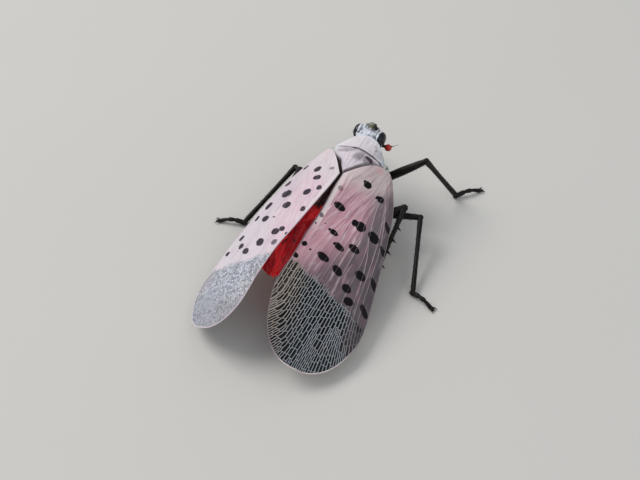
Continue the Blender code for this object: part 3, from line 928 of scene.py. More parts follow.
# Half widths of the forewings in millimetres at places along them
INNER_WIDTHS = {Side.RIGHT: ((0, 2.54), (2, 2.83), (4, 3.0), (6, 3.24), (8, 3.61), (11, 3.99), (14, 4.5),
                             (17, 4.48), (21.4, 4.4)),
                Side.LEFT: ((0, 2.54), (2, 2.84), (4, 2.98), (6, 3.1), (8, 3.12), (10.5, 3.02), (13, 3.15),
                            (15, 3.43), (16.7, 3.84), (18.3, 4.15), (21.4, 4.3))}
COSTAL_WIDTHS = ((0, 2.09), (2, 2.91), (4, 3.45), (7, 3.82), (11, 4.17), (14, 4.42), (17, 4.85), (21.4, 5.1))
INNER_POWERS = {Side.RIGHT: 2.6, Side.LEFT: 3.5}
COSTAL_POWER = 2.05


@dataclass(eq=False)
class FineVein:
    """A fine vein of the netted tip as it grows: where it starts, where it is now and where it has been."""

    low: float
    now: float | None
    next_cross: float
    across: list[float] = field(default_factory=list)
    pulls: list[Point] = field(default_factory=list)
    first: float = 0.0
    end: tuple[float, float] | None = None


@dataclass
class Forewing:
    """A forewing: its curved surface, membrane, raised veins and netted tip."""

    side: Side
    tip: Point
    roof: float
    bow_up: float
    twist: float
    bow_side: float
    finish: MembraneFinish
    net: NetFinish
    length: float = 21.4
    root: Point = (1.99, -0.5, 7.2)
    inner_base: float = 2.0
    costal_base: float = -0.67
    base_bow: float = 0.85
    base_shoulder: float = 0.65
    base_reach: float = 4.0
    apex_start: float = 13.0
    veins: Sequence[Sequence[Point]] = (
        ((1.9, -2.05), (3.2, -2.2), (5.3, -2.34), (7.0, -2.67), (9.0, -3.0), (11.6, -3.3)),
        ((1.3, -1.6), (2.6, -1.75), (4.6, -2.0), (6.6, -2.35)),
        ((0.34, 0.47), (1.5, -0.2), (3.8, -1.08), (6.2, -1.92), (8.25, -2.76), (10.8, -3.3)),
        ((0.6, 1.1), (2.2, 0.73), (3.85, 0.0), (5.85, -0.76), (8.95, -1.93), (11.4, -2.6), (12.8, -2.9)),
        ((1.55, 1.0), (3.5, 0.31), (5.05, -0.33), (7.3, -0.93), (9.5, -1.57), (12.0, -2.1), (13.0, -2.3)),
        ((3.05, 1.41), (4.25, 0.62), (6.2, -0.19), (8.8, -0.66), (11.4, -1.2), (13.2, -1.5)),
        ((3.1, 1.5), (4.1, 0.86), (5.6, 0.68), (7.95, 0.3), (9.5, -0.11), (11.8, -0.6), (13.4, -0.9)),
        ((3.1, 1.65), (4.0, 1.41), (5.4, 1.18), (7.1, 1.22), (9.5, 0.52), (11.8, 0.1), (13.7, -0.15)),
        ((6.3, 1.35), (8.0, 1.3), (10.2, 1.05), (12.2, 0.75), (13.9, 0.6)),
        ((-0.1, 1.5), (1.45, 1.8), (3.7, 1.75), (5.7, 1.89), (8.55, 2.18), (11.0, 2.0), (14.3, 1.65)),
        ((6.5, 1.95), (8.8, 2.5), (11.2, 2.75), (14.7, 2.7)),
        ((2.6, 2.3), (4.8, 2.75), (7.0, 3.0), (10.0, 3.1), (14.9, 3.15)),
        ((0.7, 1.74), (1.8, 2.02), (3.3, 2.6), (6.05, 3.2), (8.5, 3.45), (11.5, 3.55), (15.0, 3.7)))
    fan: Sequence[Point] = ((-4.5, -9.0), (-2.5, -10.0), (-1.0, -10.5), (0.4, -10.0), (1.4, -7.0),
                            (2.8, 2.0), (4.8, 6.0))
    net_reach: Point = (-4.2, 4.3)
    net_start: float = 11.0
    line_gap: float = 0.24
    line_step: float = 0.12
    split_gap: float = 1.32
    shore_gap: float = 1.7
    shore_end: float = 19.5
    margin: float = 0.03
    vein_height: float = 0.04
    vein_radius: float = 0.042
    vein_step: float = 0.35
    vein_sink: float = 0.022
    vein_wander: float = 0.035
    net_radius: float = 0.042
    net_taper: float = 0.008
    net_lift: float = 0.008
    cross_radius: float = 0.036
    cross_pull: float = 0.02
    cross_reach: float = 0.14
    rim_radius: float = 0.058
    thickness: float = 0.08
    fold_start: float = 0.915
    fold_drop: float = 0.42

    def __post_init__(self) -> None:
        """Works out the wing's own axes."""
        self.start = Vector((self.side.value * self.root[0], self.root[1], self.root[2]))
        self.span = Vector(self.tip) - self.start
        axis = self.span.normalized()
        level = Vector((self.side.value, 0, 0))
        level = (level - axis * level.dot(axis)).normalized()
        upward = (UP - axis * UP.dot(axis) - level * UP.dot(level)).normalized()
        roof = math.radians(self.roof)
        self.outward = level * math.cos(roof) - upward * math.sin(roof)
        self.normal = upward * math.cos(roof) + level * math.sin(roof)

    def half_widths(self, along: float) -> tuple[float, float]:
        """Width from the wing's axis to the inner margin and to the costal margin."""
        taper = min(max(along - self.apex_start, 0.0) / (self.length - self.apex_start), 1.0)
        shapes = ((INNER_WIDTHS[self.side], INNER_POWERS[self.side]), (COSTAL_WIDTHS, COSTAL_POWER))
        return tuple(smooth(table, along) * (1 - taper ** power) ** (1 / power) for table, power in shapes)

    def vein_at(self, path: Sequence[Point], s: float) -> float:
        """Where a vein lies across, drawn in where this wing is narrower than the other one."""
        t = smooth(path, s)
        if t >= 0:
            return t
        return t * min(smooth(INNER_WIDTHS[self.side], s) / smooth(INNER_WIDTHS[Side.RIGHT], s), 1.0)

    def flat(self, along: float, across: float) -> tuple[float, float, float]:
        """Flat coordinates and the strength of the base's shape for a share along and across.

        Args:
            along: Place along in millimetres.
            across: Share of the width.

        Returns:
            The coordinates across and along, and the strength.
        """
        inner_along = self.inner_base + along * (self.length - self.inner_base) / self.length
        costal_along = self.costal_base + along * (self.length - self.costal_base) / self.length
        base = math.sin(math.pi * across) * max(1 - along / self.base_reach, 0.0)
        inner, costal = self.half_widths(along)
        return (-inner + (inner + costal) * across,
                inner_along + (costal_along - inner_along) * across - self.base_bow * base, base)

    def point(self, t: float, s: float, base: float = 0.0, lift: float = 0.0) -> Vector:
        """The point of the surface at flat coordinates.

        Args:
            t: Flat coordinate across.
            s: Flat coordinate along.
            base: Strength of the base's shape.
            lift: Height over the surface.

        Returns:
            The point.
        """
        u = s / self.length
        angle = math.radians(self.twist) * (u - 0.5)
        shifted = t + self.bow_side * 4 * u * (1 - u)
        height = self.bow_up * 4 * u * (1 - u) - shifted * math.sin(angle) - 0.004 * t * t + lift
        height += self.base_shoulder * base
        return self.start + self.span * u + self.outward * (shifted * math.cos(angle)) + self.normal * height

    def fold(self, along: float, share: float) -> float:
        """How far the costal margin is folded down."""
        return self.fold_drop * ease(self.fold_start, 1.0, share) * ease(19.0, 14.0, along)

    def locate(self, t: float, s: float) -> tuple[float, float]:
        """The share along, in millimetres, and the share across that have these flat coordinates.

        Args:
            t: Flat coordinate across.
            s: Flat coordinate along.

        Returns:
            The two places.
        """
        lean = self.costal_base - self.inner_base
        across, along = 0.5, s
        for _ in range(8):
            base = math.sin(math.pi * min(max(across, 0.0), 1.0)) * max(1 - along / self.base_reach, 0.0)
            rate = (self.length - self.inner_base - lean * across) / self.length
            along = (s - self.inner_base - lean * across + self.base_bow * base) / rate
            along = min(max(along, 0.0), self.length - 0.004)
            inner, costal = self.half_widths(along)
            across = (t + inner) / max(inner + costal, 0.01)
        return along, across

    def ridge(self, t: float, s: float) -> float:
        """Height of the low ridges under the veins."""
        height = 0.0
        for path in self.veins:
            if path[0][0] < s < path[-1][0]:
                fade = ease(path[0][0], path[0][0] + 1, s) * ease(path[-1][0], path[-1][0] - 1, s)
                height += fade * hump(t, self.vein_at(path, s), 0.1)
        return self.vein_height * min(height, 1.0)

    def surface(self, along: float, across: float, lift: float = 0.0) -> tuple[Vector, Vector]:
        """The point of the dressed surface and its flat coordinates."""
        t, s, base = self.flat(along, across)
        wrinkle = 0.035 * noise.noise(Vector((t * 0.9, s * 0.35, self.side.value * 7))) * min(along / 2, 1.0)
        point = self.point(t, s, base, self.ridge(t, s) + wrinkle + lift)
        point.z -= self.fold(along, across)
        return point, Vector((t, s, across))

    def membrane(self) -> bmesh.types.BMesh:
        """The closed sheet of the membrane."""
        tip_start = 0.62

        def place(across: float, up: float) -> tuple[Vector, Vector]:
            """A point of the surface, with closer rows towards the tip."""
            if up < tip_start:
                along = self.apex_start * up / tip_start
            else:
                quarter = (up - tip_start) / (1 - tip_start) * math.pi / 2
                along = self.apex_start + (self.length - 0.004 - self.apex_start) * math.sin(quarter)
            return self.surface(along, across)

        return sheet(126, 190, place, self.thickness)

    @staticmethod
    def add_vein(shape: bmesh.types.BMesh, places: Sequence[tuple[Vector, Vector]], radii: Sequence[float],
                 sides: int) -> None:
        """Adds a tube along places of the surface, which keeps their flat coordinates."""
        add_tube(shape, [point for point, _ in places], radii, sides, tags=[tag for _, tag in places])

    def vein_tubes(self) -> bmesh.types.BMesh:
        """The raised pale veins of the leathery part."""
        shape = flat_shape()
        for number, path in enumerate(self.veins):
            first, last = path[0][0], path[-1][0]
            rows = max(int((last - first) / self.vein_step), 4)
            places, radii = [], []
            for k in range(rows + 1):
                s = first + (last - first) * k / rows
                t = self.vein_at(path, s)
                t += self.vein_wander * noise.noise(Vector((s * 1.3, number * 5.1, 0.0)))
                places.append(self.surface(*self.locate(t, s), -self.vein_sink))
                radii.append(self.vein_radius * (0.6 + 0.4 * math.sin(math.pi * min(k / rows * 1.3, 1.0))))
            self.add_vein(shape, places, radii, 6)
        return shape

    def rim(self) -> bmesh.types.BMesh:
        """The thickened margin that runs round the wing."""
        shape = flat_shape()
        steps = [k / 60 for k in range(61)]
        tip_length = self.length - self.apex_start - 0.02
        route = [(self.apex_start * 2 * share, 0.0) for share in steps[:30]]
        route += [(self.apex_start + tip_length * math.sin(share * math.pi / 2), 0.0) for share in steps[1:]]
        route += [(along, 1.0) for along, _ in reversed(route)]
        places = []
        for along, share in route:
            point, tag = self.surface(along, share)
            places.append((point - UP * (self.thickness / 2), tag))
        self.add_vein(shape, places, [self.rim_radius] * len(places), 6)
        return shape

    def border_at(self, t: float) -> float:
        """How far along the net begins at a place across."""
        return self.finish.border + self.finish.border_slope * t

    def inside(self, along: float, across: float) -> bool:
        """Whether a located place lies on the wing."""
        return 0.0 < across < 1.0 and along < self.length - self.margin

    def net_lines(self, rng: random.Random) -> tuple[list[FineVein], list[tuple[FineVein, FineVein, float]]]:
        """Grows the fine veins of the tip from the border of the net to the margin.

        Args:
            rng: Source of the small unevenness.

        Returns:
            The fine veins, and the short ones as the two that they join and their place along.
        """
        lines, crosses = [], []
        t, t_end = self.net_reach
        while t < t_end:
            low = self.border_at(t) - rng.uniform(0.0, 0.45)
            lines.append(FineVein(low, t, low + rng.uniform(0.15, 0.5)))
            t += self.line_gap * rng.uniform(0.92, 1.08)
        s = self.net_start
        while s < self.length:
            active = [line for line in lines if line.low <= s and line.now is not None]
            for line, other in zip(active, active[1:]):
                if s < line.next_cross:
                    continue
                crosses.append((line, other, s))
                line.next_cross = s + rng.uniform(0.45, 1.0)
                gap = other.now - line.now
                if gap > self.split_gap * self.line_gap:
                    lines.append(FineVein(s, line.now + gap / 2, s + rng.uniform(0.3, 0.6)))
            lines += self.shore_lines(active, s, rng)
            lines.sort(key=lambda line: -math.inf if line.now is None else line.now)
            for line in lines:
                if line.now is not None and line.low <= s:
                    self.grow(line, s)
            s += self.line_step
        return [line for line in lines if len(line.across) > 2], crosses

    def grow(self, line: FineVein, s: float) -> None:
        """Takes a fine vein one step along, or ends it at the margin.

        Args:
            line: The fine vein.
            s: The place along.
        """
        if not line.across:
            line.first = s
        line.across.append(line.now)
        ahead = line.now + self.lean(line.now, s) * self.line_step
        if self.inside(*self.locate(ahead, s + self.line_step)):
            line.now = ahead
        else:
            line.end = self.shore(line.now, ahead, s)
            line.now = None

    def shore_lines(self, active: list[FineVein], s: float, rng: random.Random) -> list[FineVein]:
        """New fine veins between the outermost ones and the margins, where there is room for them.

        Args:
            active: The fine veins that grow here, in order across.
            s: The place along.
            rng: Source of the small unevenness.

        Returns:
            The new fine veins.
        """
        made = []
        if not active or s > self.shore_end:
            return made
        for line, way in ((active[0], -1), (active[-1], 1)):
            along, across = self.locate(line.now, s)
            room = sum(self.half_widths(along)) * (across if way < 0 else 1 - across)
            if room > self.shore_gap * self.line_gap and s > self.border_at(line.now):
                made.append(FineVein(s, line.now + way * self.line_gap, s + rng.uniform(0.2, 0.6)))
        return made

    def shore(self, t: float, ahead: float, s: float) -> tuple[float, float]:
        """Where a step that leaves the wing crosses its margin, by halving.

        Args:
            t: Place across before the step.
            ahead: Place across after it.
            s: Place along before the step.

        Returns:
            Where the margin is, across and along.
        """
        low, high = 0.0, 1.0
        for _ in range(7):
            middle = (low + high) / 2
            inside = self.inside(*self.locate(t + (ahead - t) * middle, s + self.line_step * middle))
            low, high = (middle, high) if inside else (low, middle)
        return t + (ahead - t) * low, s + self.line_step * low

    def lean(self, t: float, s: float) -> float:
        """How much the fine veins of the tip move across for each step along.

        Args:
            t: Flat coordinate across.
            s: Flat coordinate along.

        Returns:
            The slope.
        """
        plain = smooth(self.fan, min(max(t, -4.4), 4.7))
        width = 4.3 if t < 0 else 4.75
        tip_length = self.length - self.apex_start
        over, past = t / width, max(s - self.apex_start, 0.0) / tip_length
        out = math.degrees(math.atan2(over / width, past / tip_length))
        near_margin = ease(0.72, 0.95, math.hypot(over, past)) * ease(14.5, 17.5, s)
        bend = (0.1 + 0.42 * ease(-0.8, -2.4, t)) * near_margin
        return math.tan(math.radians(plain + bend * (out - plain)))

    def net_tubes(self) -> bmesh.types.BMesh:
        """The fan of fine veins in the tip with the short veins that cross between them."""
        shape = flat_shape()
        lines, crosses = self.net_lines(random.Random(11 if self.side is Side.RIGHT else 23))
        for left, right, s in crosses:
            left.pulls.append((s, self.cross_pull))
            right.pulls.append((s, -self.cross_pull))
        for line in lines:
            places = [self.net_place(line, k) for k in range(len(line.across))]
            if line.end:
                places.append(self.surface(*self.locate(*line.end)))
            radii = [self.net_radius - self.net_taper * ease(17, 20, line.first + k * self.line_step)
                     for k in range(len(places))]
            self.add_vein(shape, places, radii, 5)
        for left, right, s in crosses:
            steps = [(line, round((s - line.first) / self.line_step)) for line in (left, right)]
            if all(0 <= k < len(line.across) for line, k in steps):
                ends = [self.net_place(line, k) for line, k in steps]
                self.add_vein(shape, ends, [self.cross_radius] * 2, 4)
        return shape

    def net_place(self, line: FineVein, k: int) -> tuple[Vector, Vector]:
        """A point of a fine vein, which bends towards every short vein that leaves it."""
        s = line.first + k * self.line_step
        t = line.across[k] + sum(pull * hump(s, at, self.cross_reach) for at, pull in line.pulls)
        return self.surface(*self.locate(t, s), self.net_lift)

    def build(self) -> None:
        """Makes the four pieces of the wing."""
        name, tones = f"forewing_{self.side.word}", self.finish.tones
        WORK.piece(f"{name}_membrane", self.membrane(), self.finish.build(), [name])
        on_veins = replace(self.finish, name=self.finish.name + "_veins", border=self.finish.border + 2.0,
                           raised=0.45)
        WORK.piece(f"{name}_veins", self.vein_tubes(), on_veins.build())
        WORK.piece(f"{name}_net", self.net_tubes(), self.net.build())
        rim = NetFinish(f"rim_{self.side.word}", tones.stripe, tones.costal, tones.far)
        WORK.piece(f"{name}_rim", self.rim(), rim.build())


@dataclass
class Hindwings:
    """The two folded red hindwings."""

    front: float = 2.55
    back: float = 12.9
    ridge: Sequence[Point] = ((2.4, 6.9), (5.0, 6.62), (8.0, 6.1), (11.0, 5.2), (13.0, 4.5))
    widths: Sequence[Point] = ((2.4, 1.7), (5.0, 2.7), (8.0, 3.3), (11.0, 3.2), (12.2, 2.7), (13.0, 1.6))
    inner: float = 0.17
    slope: float = 0.5095
    crown: float = 0.8
    pleats: int = 4
    pleat_depth: float = 0.22
    crumple: float = 0.6
    thickness: float = 0.07

    def surface(self, side: Side, across: float, up: float) -> tuple[Vector, Vector]:
        """The point of the pleated surface and its flat coordinates.

        Args:
            side: Which wing.
            across: Share of the width.
            up: Share of the length.

        Returns:
            The point and its flat coordinates.
        """
        y = self.front + (self.back - self.front) * math.sin(up * math.pi / 2)
        x = self.inner + (smooth(self.widths, y) - self.inner) * across
        from_front, from_inside = min(up * 4, 1.0), min(across * 4, 1.0)
        valley = 0.5 - 0.5 * math.cos(2 * math.pi * across * self.pleats)
        depth = self.pleat_depth * valley * from_inside * from_front * ease(1.0, 0.86, up)
        u, w = x * 1.1 + y * 0.3, y * 0.42 - x * 0.3
        tilt = noise.cell_vector(Vector((u, w, side.value * 3)))
        facet = tilt.x * (u % 1 - 0.5) + tilt.y * (w % 1 - 0.5)
        depth -= self.crumple * facet * from_front * ease(1.0, 0.9, up)
        fall = self.slope * x * x / (x + self.crown)
        return Vector((side.value * x, y, smooth(self.ridge, y) - fall - depth)), Vector((x, y, across))

    def build(self) -> None:
        """Makes both wings."""
        look = SatinFinish("hindwing_red").build()
        for side in Side:
            shape = sheet(65, 90, partial(self.surface, side), self.thickness)
            WORK.piece(f"hindwing_{side.word}_folded", shape, look, [f"hindwing_{side.word}"])


# Marks of the plates: middle, half sizes, turn, depth and softness
COLLAR_SPOTS = spots((
    (-1.42, -2.42, 0.2, 0.09, 60, 0.6, 0.5), (-1.9, -2.45, 0.4, 0.05, -20, 0.5, 0.6),
    (-2.1, -2.2, 0.9, 0.75, 20, 0.3, 0.8), (-1.2, -2.75, 0.3, 0.12, 30, 0.25, 0.6)))
SHIELD_SPOTS = spots((
    (1.1, -1.15, 0.85, 0.32, 8, 0.42, 0.5), (-0.5, -0.85, 0.66, 0.42, 70, 0.56, 0.5),
    (-1.42, -1.0, 0.42, 0.24, -35, 1.2, 0.3), (-1.08, -0.98, 0.2, 0.16, 0, 0.9, 0.4),
    (-1.3, -0.68, 0.6, 0.36, -35, 0.55, 0.5), (-1.75, -0.95, 0.5, 0.2, -40, 0.4, 0.6),
    (0.1, -1.45, 1.3, 0.1, 0, 0.35, 0.7)))


@dataclass
class Plates:
    """The pronotum, the mesonotum and the two tegulae."""

    back_height: float = 8.25
    pronotum_front: float = -3.75
    pronotum_back: float = -1.78
    pronotum_widths: Sequence[Point] = ((0.0, 1.3), (0.3, 1.85), (0.75, 2.6), (1.0, 2.55))
    mesonotum_apex: float = 1.66
    mesonotum_widths: Sequence[Point] = ((0.0, 2.6), (0.26, 1.62), (0.52, 1.0), (0.78, 0.52), (1.0, 0.05))
    pronotum_depth: float = 0.32
    mesonotum_depth: float = 0.3
    tegula: Point = (2.64, -1.63, 6.68)
    tegula_size: Point = (0.58, 0.5, 0.34)
    tegula_lean: float = 34.0

    def height(self, x: float, y: float) -> float:
        """Height of the plates, which fall away to the sides."""
        return self.back_height - 1.1 * (abs(x) / 2.75) ** 1.6 - 0.02 * max(y, 0.0) ** 2

    def collar(self, x: float) -> float:
        """Where the hind edge of the pronotum runs, a little skewed by the open wings."""
        return self.pronotum_back + 0.04 - 0.016 * max(x, 0.0) ** 3 + 0.024 * min(x, 0.0) ** 2

    def pronotum(self) -> bmesh.types.BMesh:
        """The collar with its keel, its furrows and its ragged waxy sides."""

        def place(across: float, up: float) -> tuple[Vector, Vector]:
            """A point of the plate and its place across, from -1 to 1, and along, from 0 to 1."""
            v = 2 * across - 1
            x = smooth(self.pronotum_widths, up) * v
            x += 0.24 * noise.noise(Vector((up * 9, v * 3, 2.0))) * ease(0.8, 1.0, abs(v)) * v
            front = self.pronotum_front + 0.35 * v * v
            back = self.collar(x) + 0.24
            y = front + (back - front) * up
            keel = 0.05 * hump(v, 0.13 * (1 - up), 0.03) * ease(0, 0.15, up) * ease(1, 0.9, up)
            bend = 0.05 * hump(abs(x), 0.95 + 0.5 * up, 0.12)
            dimple = -0.07 * hump(abs(x), 0.45, 0.16) * hump(up, 0.4, 0.2)
            folds = 0.05 * noise.noise(Vector((x * 2.0, y * 3.2, 5.0))) * ease(0.1, 0.6, abs(v))
            rim = -0.02 * ease(0.94, 1.0, up) - 0.1 * ease(0.1, 0.0, up) - 0.3 * ease(0.86, 1.0, abs(v)) ** 2
            lip = 0.05 * hump(up, 0.86, 0.05)
            z = self.height(x, 0.0) - 0.14 * (1 - up) + keel + bend + dimple + folds + rim + lip + 0.06
            return Vector((x, y, z)), Vector((v, up, across))

        def worn(v: float, up: float) -> float:
            """How dark the hem and the keel are."""
            hem = ease(0.925, 0.955, up) * (0.85 - 0.4 * ease(0.1, 0.5, v))
            return max(hem, 0.22 * hump(v, 0.13 * (1 - up), 0.02))

        shape = sheet(121, 71, place, self.pronotum_depth)
        self.tag(shape, "mark", worn)
        self.tag(shape, "frost", lambda v, up: max(ease(0.55, 0.95, abs(v)), ease(0.25, 0.0, up)))
        return shape

    def mesonotum(self) -> bmesh.types.BMesh:
        """The diamond plate with its three keels and its dark border."""

        def place(across: float, up: float) -> tuple[Vector, Vector]:
            """A point of the plate and its place across, from -1 to 1, and along, from 0 to 1."""
            v = 2 * across - 1
            flank = 0.5 * math.sin(math.pi * min(up * 1.8, 1.0)) * ease(0.3, 1.0, v)
            x = smooth(self.mesonotum_widths, up) * v + flank
            front = self.collar(x) + 0.12
            y = front + (self.mesonotum_apex - front) * up
            middle = 0.05 * hump(x, 0, 0.06) - 0.09 * ease(0.1, 0.0, up)
            sides = 0.05 * hump(abs(x), 0.62 * (1 - up) + 0.12, 0.07)
            keels = (middle + sides) * ease(0, 0.12, up) * ease(1, 0.85, up)
            tail = -0.12 * hump(up, 0.72, 0.1) * ease(1.0, 0.3, abs(v))
            folds = 0.03 * noise.noise(Vector((x * 2.0, y * 2.0, 8.0)))
            rim = -0.14 * ease(0.9, 1.0, abs(v)) + 0.05 * hump(abs(v), 0.86, 0.05)
            return Vector((x, y, self.height(x, y) + keels + tail + folds + rim)), Vector((v, up, across))

        def worn(v: float, up: float) -> float:
            """How dark the side edges are."""
            return 0.5 * ease(0.93, 0.97, -v) + 0.7 * ease(0.95, 0.98, v) * ease(0.2, 0.5, up)

        shape = sheet(101, 81, place, self.mesonotum_depth)
        self.tag(shape, "mark", worn)
        self.tag(shape, "frost", lambda v, up: 0.6 * ease(0.75, 0.95, v) * ease(0.5, 0.2, up))
        return shape

    @staticmethod
    def tag(shape: bmesh.types.BMesh, name: str, amount: Callable[[float, float], float]) -> None:
        """Keeps a number on every vertex by its place across, from -1 to 1, and along, from 0 to 1."""
        layer = shape.verts.layers.float.new(name)
        flat = shape.verts.layers.float_vector.get("flat")
        for vert in shape.verts:
            vert[layer] = min(max(amount(vert[flat].x, vert[flat].y), 0.0), 1.0)

    def tegulae(self, side: Side) -> bmesh.types.BMesh:
        """The scale over a wing's base: a low shell with a raised lip and a dark notch."""
        shape = bmesh.new()
        x, y, z = self.tegula
        add_ball(shape, (0, 0, 0), self.tegula_size, 36, 24)
        push(shape, lambda co: 0.03 * noise.noise(co * 3.0) + 0.05 * hump(co.xy.length, 0.36, 0.06)
             - 0.1 * hump(co.x, 0.12, 0.1) * hump(co.y, -0.12, 0.2))
        mark(shape, lambda co: 0.9 * hump(co.x, 0.12, 0.1) * hump(co.y, -0.12, 0.22))
        turn = Matrix.Rotation(side.value * math.radians(self.tegula_lean), 4, "Y")
        where = Matrix.Translation((side.value * x, y, z)) @ turn
        if side is Side.RIGHT:
            where = where @ Matrix.Diagonal((-1, 1, 1, 1))
        bmesh.ops.transform(shape, matrix=where, verts=shape.verts)
        return shape

    def build(self) -> None:
        """Makes the plates."""
        collar = WaxFinish("pronotum_wax", (230, 222, 226), (200, 192, 198), (44, 37, 42), 0.95,
                           COLLAR_SPOTS)
        WORK.piece("pronotum_collar", self.pronotum(), collar.build(), ["pronotum"])
        shield = WaxFinish("mesonotum_wax", (226, 214, 222), (206, 192, 202), (66, 52, 58), 0.9,
                           SHIELD_SPOTS, 0.5)
        WORK.piece("mesonotum_shield", self.mesonotum(), shield.build(), ["mesonotum"])
        look = WaxFinish("tegula_wax", (204, 206, 198), (166, 166, 160), (34, 30, 34), 0.8).build()
        for side in Side:
            name = f"tegula_{side.word}"
            WORK.piece(f"{name}_scale", self.tegulae(side), look, [name])


@dataclass
class Head:
    """The head with its upturned process, eyes, antennae and beak."""

    place: Point = (0.37, -4.47, 7.2)
    turn: float = -3.0
    eye: Point = (0.42, 0.68, 0.62)
    eye_place: Point = (1.35, -0.12, 0.25)
    scape: Point = (1.15, -0.32, -0.7)
    bulb: Point = (1.86, -0.42, -0.8)
    bulb_radius: float = 0.34
    left_droop: Point = (-0.35, 0.0, -0.5)
    horn_tip: Point = (-0.15, -0.66, 1.36)

    def __post_init__(self) -> None:
        """Works out the head's matrix."""
        self.matrix = Matrix.Translation(self.place) @ Matrix.Rotation(math.radians(self.turn), 4, "Z")

    def placed(self, shape: bmesh.types.BMesh) -> bmesh.types.BMesh:
        """Moves a shape from the head's frame to the insect's."""
        bmesh.ops.transform(shape, matrix=self.matrix, verts=shape.verts)
        return shape

    def skin(self) -> bmesh.types.BMesh:
        """Cranium, eye sockets, brow, cheeks, face, clypeus, stalks and process as one skin."""
        shape = bmesh.new()
        add_ball(shape, (0, 0.02, 0.0), (1.16, 0.84, 1.0), 32, 20)
        add_ball(shape, (0, 0.5, -0.05), (1.15, 0.55, 0.85), 24, 14)
        for sign in (-1, 1):
            self.add_cheek(shape, sign)
        path = ((0, -0.35, 0.92), (0, -0.6, 0.6), (0, -0.72, -0.1), (0, -0.62, -0.9), (0, -0.36, -1.6),
                (0, -0.08, -2.2), (0, 0.08, -2.5))
        widths = (0.56, 0.84, 0.84, 0.74, 0.54, 0.36, 0.2)
        add_tube(shape, path, [0.32 + 0.1 * w for w in widths], 20, 2.0, (0, 1, 0))
        add_tube(shape, ((0, -0.1, 0.6), (-0.06, -0.34, 0.97), (-0.14, -0.54, 1.24), self.horn_tip),
                 (0.36, 0.31, 0.27, 0.17), 16, 1.6)
        skin = fused(shape, 0.04, 2)
        push(skin, self.carving)
        return skin

    def add_cheek(self, shape: bmesh.types.BMesh, sign: int) -> None:
        """Adds one side's eye socket with its ring, cheek, antenna stalk and brow to the head's shape.

        Args:
            shape: The head's shape.
            sign: Sign of the side's X.
        """
        x, y, z = self.eye_place
        add_ball(shape, (sign * (x - 0.34), y, z), (0.22, 0.66, 0.62), 24, 14)
        angles = [k * math.pi / 12 for k in range(25)]
        ring = [(sign * (x - 0.27), y + 0.66 * math.cos(angle), z + 0.6 * math.sin(angle))
                for angle in angles]
        add_tube(shape, ring, [0.1] * len(ring), 8, side_ways=(1, 0, 0))
        add_ball(shape, (sign * 0.98, -0.1, -0.6), (0.3, 0.4, 0.42), 20, 12)
        stalk = ((0.75, -0.2, -0.6), (1.05, -0.3, -0.68), (1.34, -0.35, -0.73))
        brow = ((0.95, 0.3, 0.6), (0.82, -0.1, 0.84), (0.66, -0.45, 0.86), (0.4, -0.62, 0.98))
        for line, radii, sides in ((stalk, (0.24, 0.2, 0.17), 16), (brow, (0.14, 0.15, 0.14, 0.1), 12)):
            add_tube(shape, [(sign * a, b, c) for a, b, c in line], radii, sides)

    def carving(self, co: Vector) -> float:
        """Depth of the keels, furrows and wrinkles of the head.

        Args:
            co: A place in the head's own frame.

        Returns:
            How far the skin moves out.
        """
        on_face = ease(-0.35, -0.6, co.y) * ease(0.95, 0.6, co.z)
        keels = 0.08 * hump(co.x, 0, 0.04) + 0.08 * hump(abs(co.x), 0.42, 0.05)
        edge = 0.07 * hump(abs(co.x), 0.68, 0.06)
        on_top = ease(0.45, 0.75, co.z)
        crown = 0.05 * hump(abs(co.x), 0.6, 0.06) - 0.07 * hump(co.x, 0, 0.14)
        pits = -0.05 * hump(abs(co.x), 0.36, 0.1) * hump(co.y, -0.1, 0.14)
        suture = -0.06 * hump(co.z, -1.25 - 0.4 * abs(co.x), 0.05) * ease(-0.2, -0.4, co.y)
        wrinkles = 0.035 * noise.noise(co * 3.2) + 0.012 * noise.noise(co * 9.0)
        top = on_top * (crown * ease(-0.75, -0.4, co.y) + pits)
        return on_face * (keels + edge) + top + suture + wrinkles

    def shade(self, co: Vector) -> float:
        """How dark the head is at a place in its own frame; on the right of the horn and in the hollow
        beside it the dark is painted shade.

        Args:
            co: The place.

        Returns:
            The mark, of which the finish uses 0 to 1.
        """
        # Painted shade: black on the right of the horn, the side turned from the light.
        horn_side_shade = 0.9 * hump(co.x, -0.42, 0.16) * hump(co.y, -0.5, 0.2) * ease(0.8, 1.0, co.z)
        lash = 0.95 * hump(abs(co.x), 0.85, 0.055) * ease(0.3, 0.5, co.z) * ease(0.5, 0.3, co.y)
        dots = hump(co.x, 0.49, 0.095) * hump(co.y, 0.53, 0.095)
        dots += 0.6 * hump(co.x, -0.71, 0.16) * hump(co.y, 0.45, 0.14)
        round_horn = math.hypot((co.x + 0.04) / 0.5, (co.y + 0.36) / 0.36)
        collar = 0.85 * hump(round_horn, 1.05, 0.11) * ease(0.72, 0.85, co.z)
        # Painted shade: grey in the hollow on the right of the crown.
        hollow_shade = ease(-0.28, -0.38, co.x) * ease(-0.8, -0.66, co.x) * ease(-0.1, -0.25, co.y)
        hollow_shade *= ease(0.55, 0.7, co.z)
        face = 0.8 * ease(-0.5, -0.75, co.y) * ease(0.75, 0.4, co.z) * ease(-2.3, -1.6, co.z)
        lines = 0.5 * hump(abs(co.x), 0.28, 0.04) * ease(0.6, 0.8, co.z) * ease(0.6, 0.2, co.y)
        fleck = ease(0.25, 0.5, noise.noise(co * 2.6)) * 0.6 * ease(0.3, 0.7, co.z)
        stalk = 0.8 * ease(1.08, 1.2, abs(co.x)) * ease(-0.45, -0.55, co.z)
        return max(horn_side_shade, lash, face, ease(0.7, 0.95, co.y), lines, fleck, stalk, dots, collar, hollow_shade)

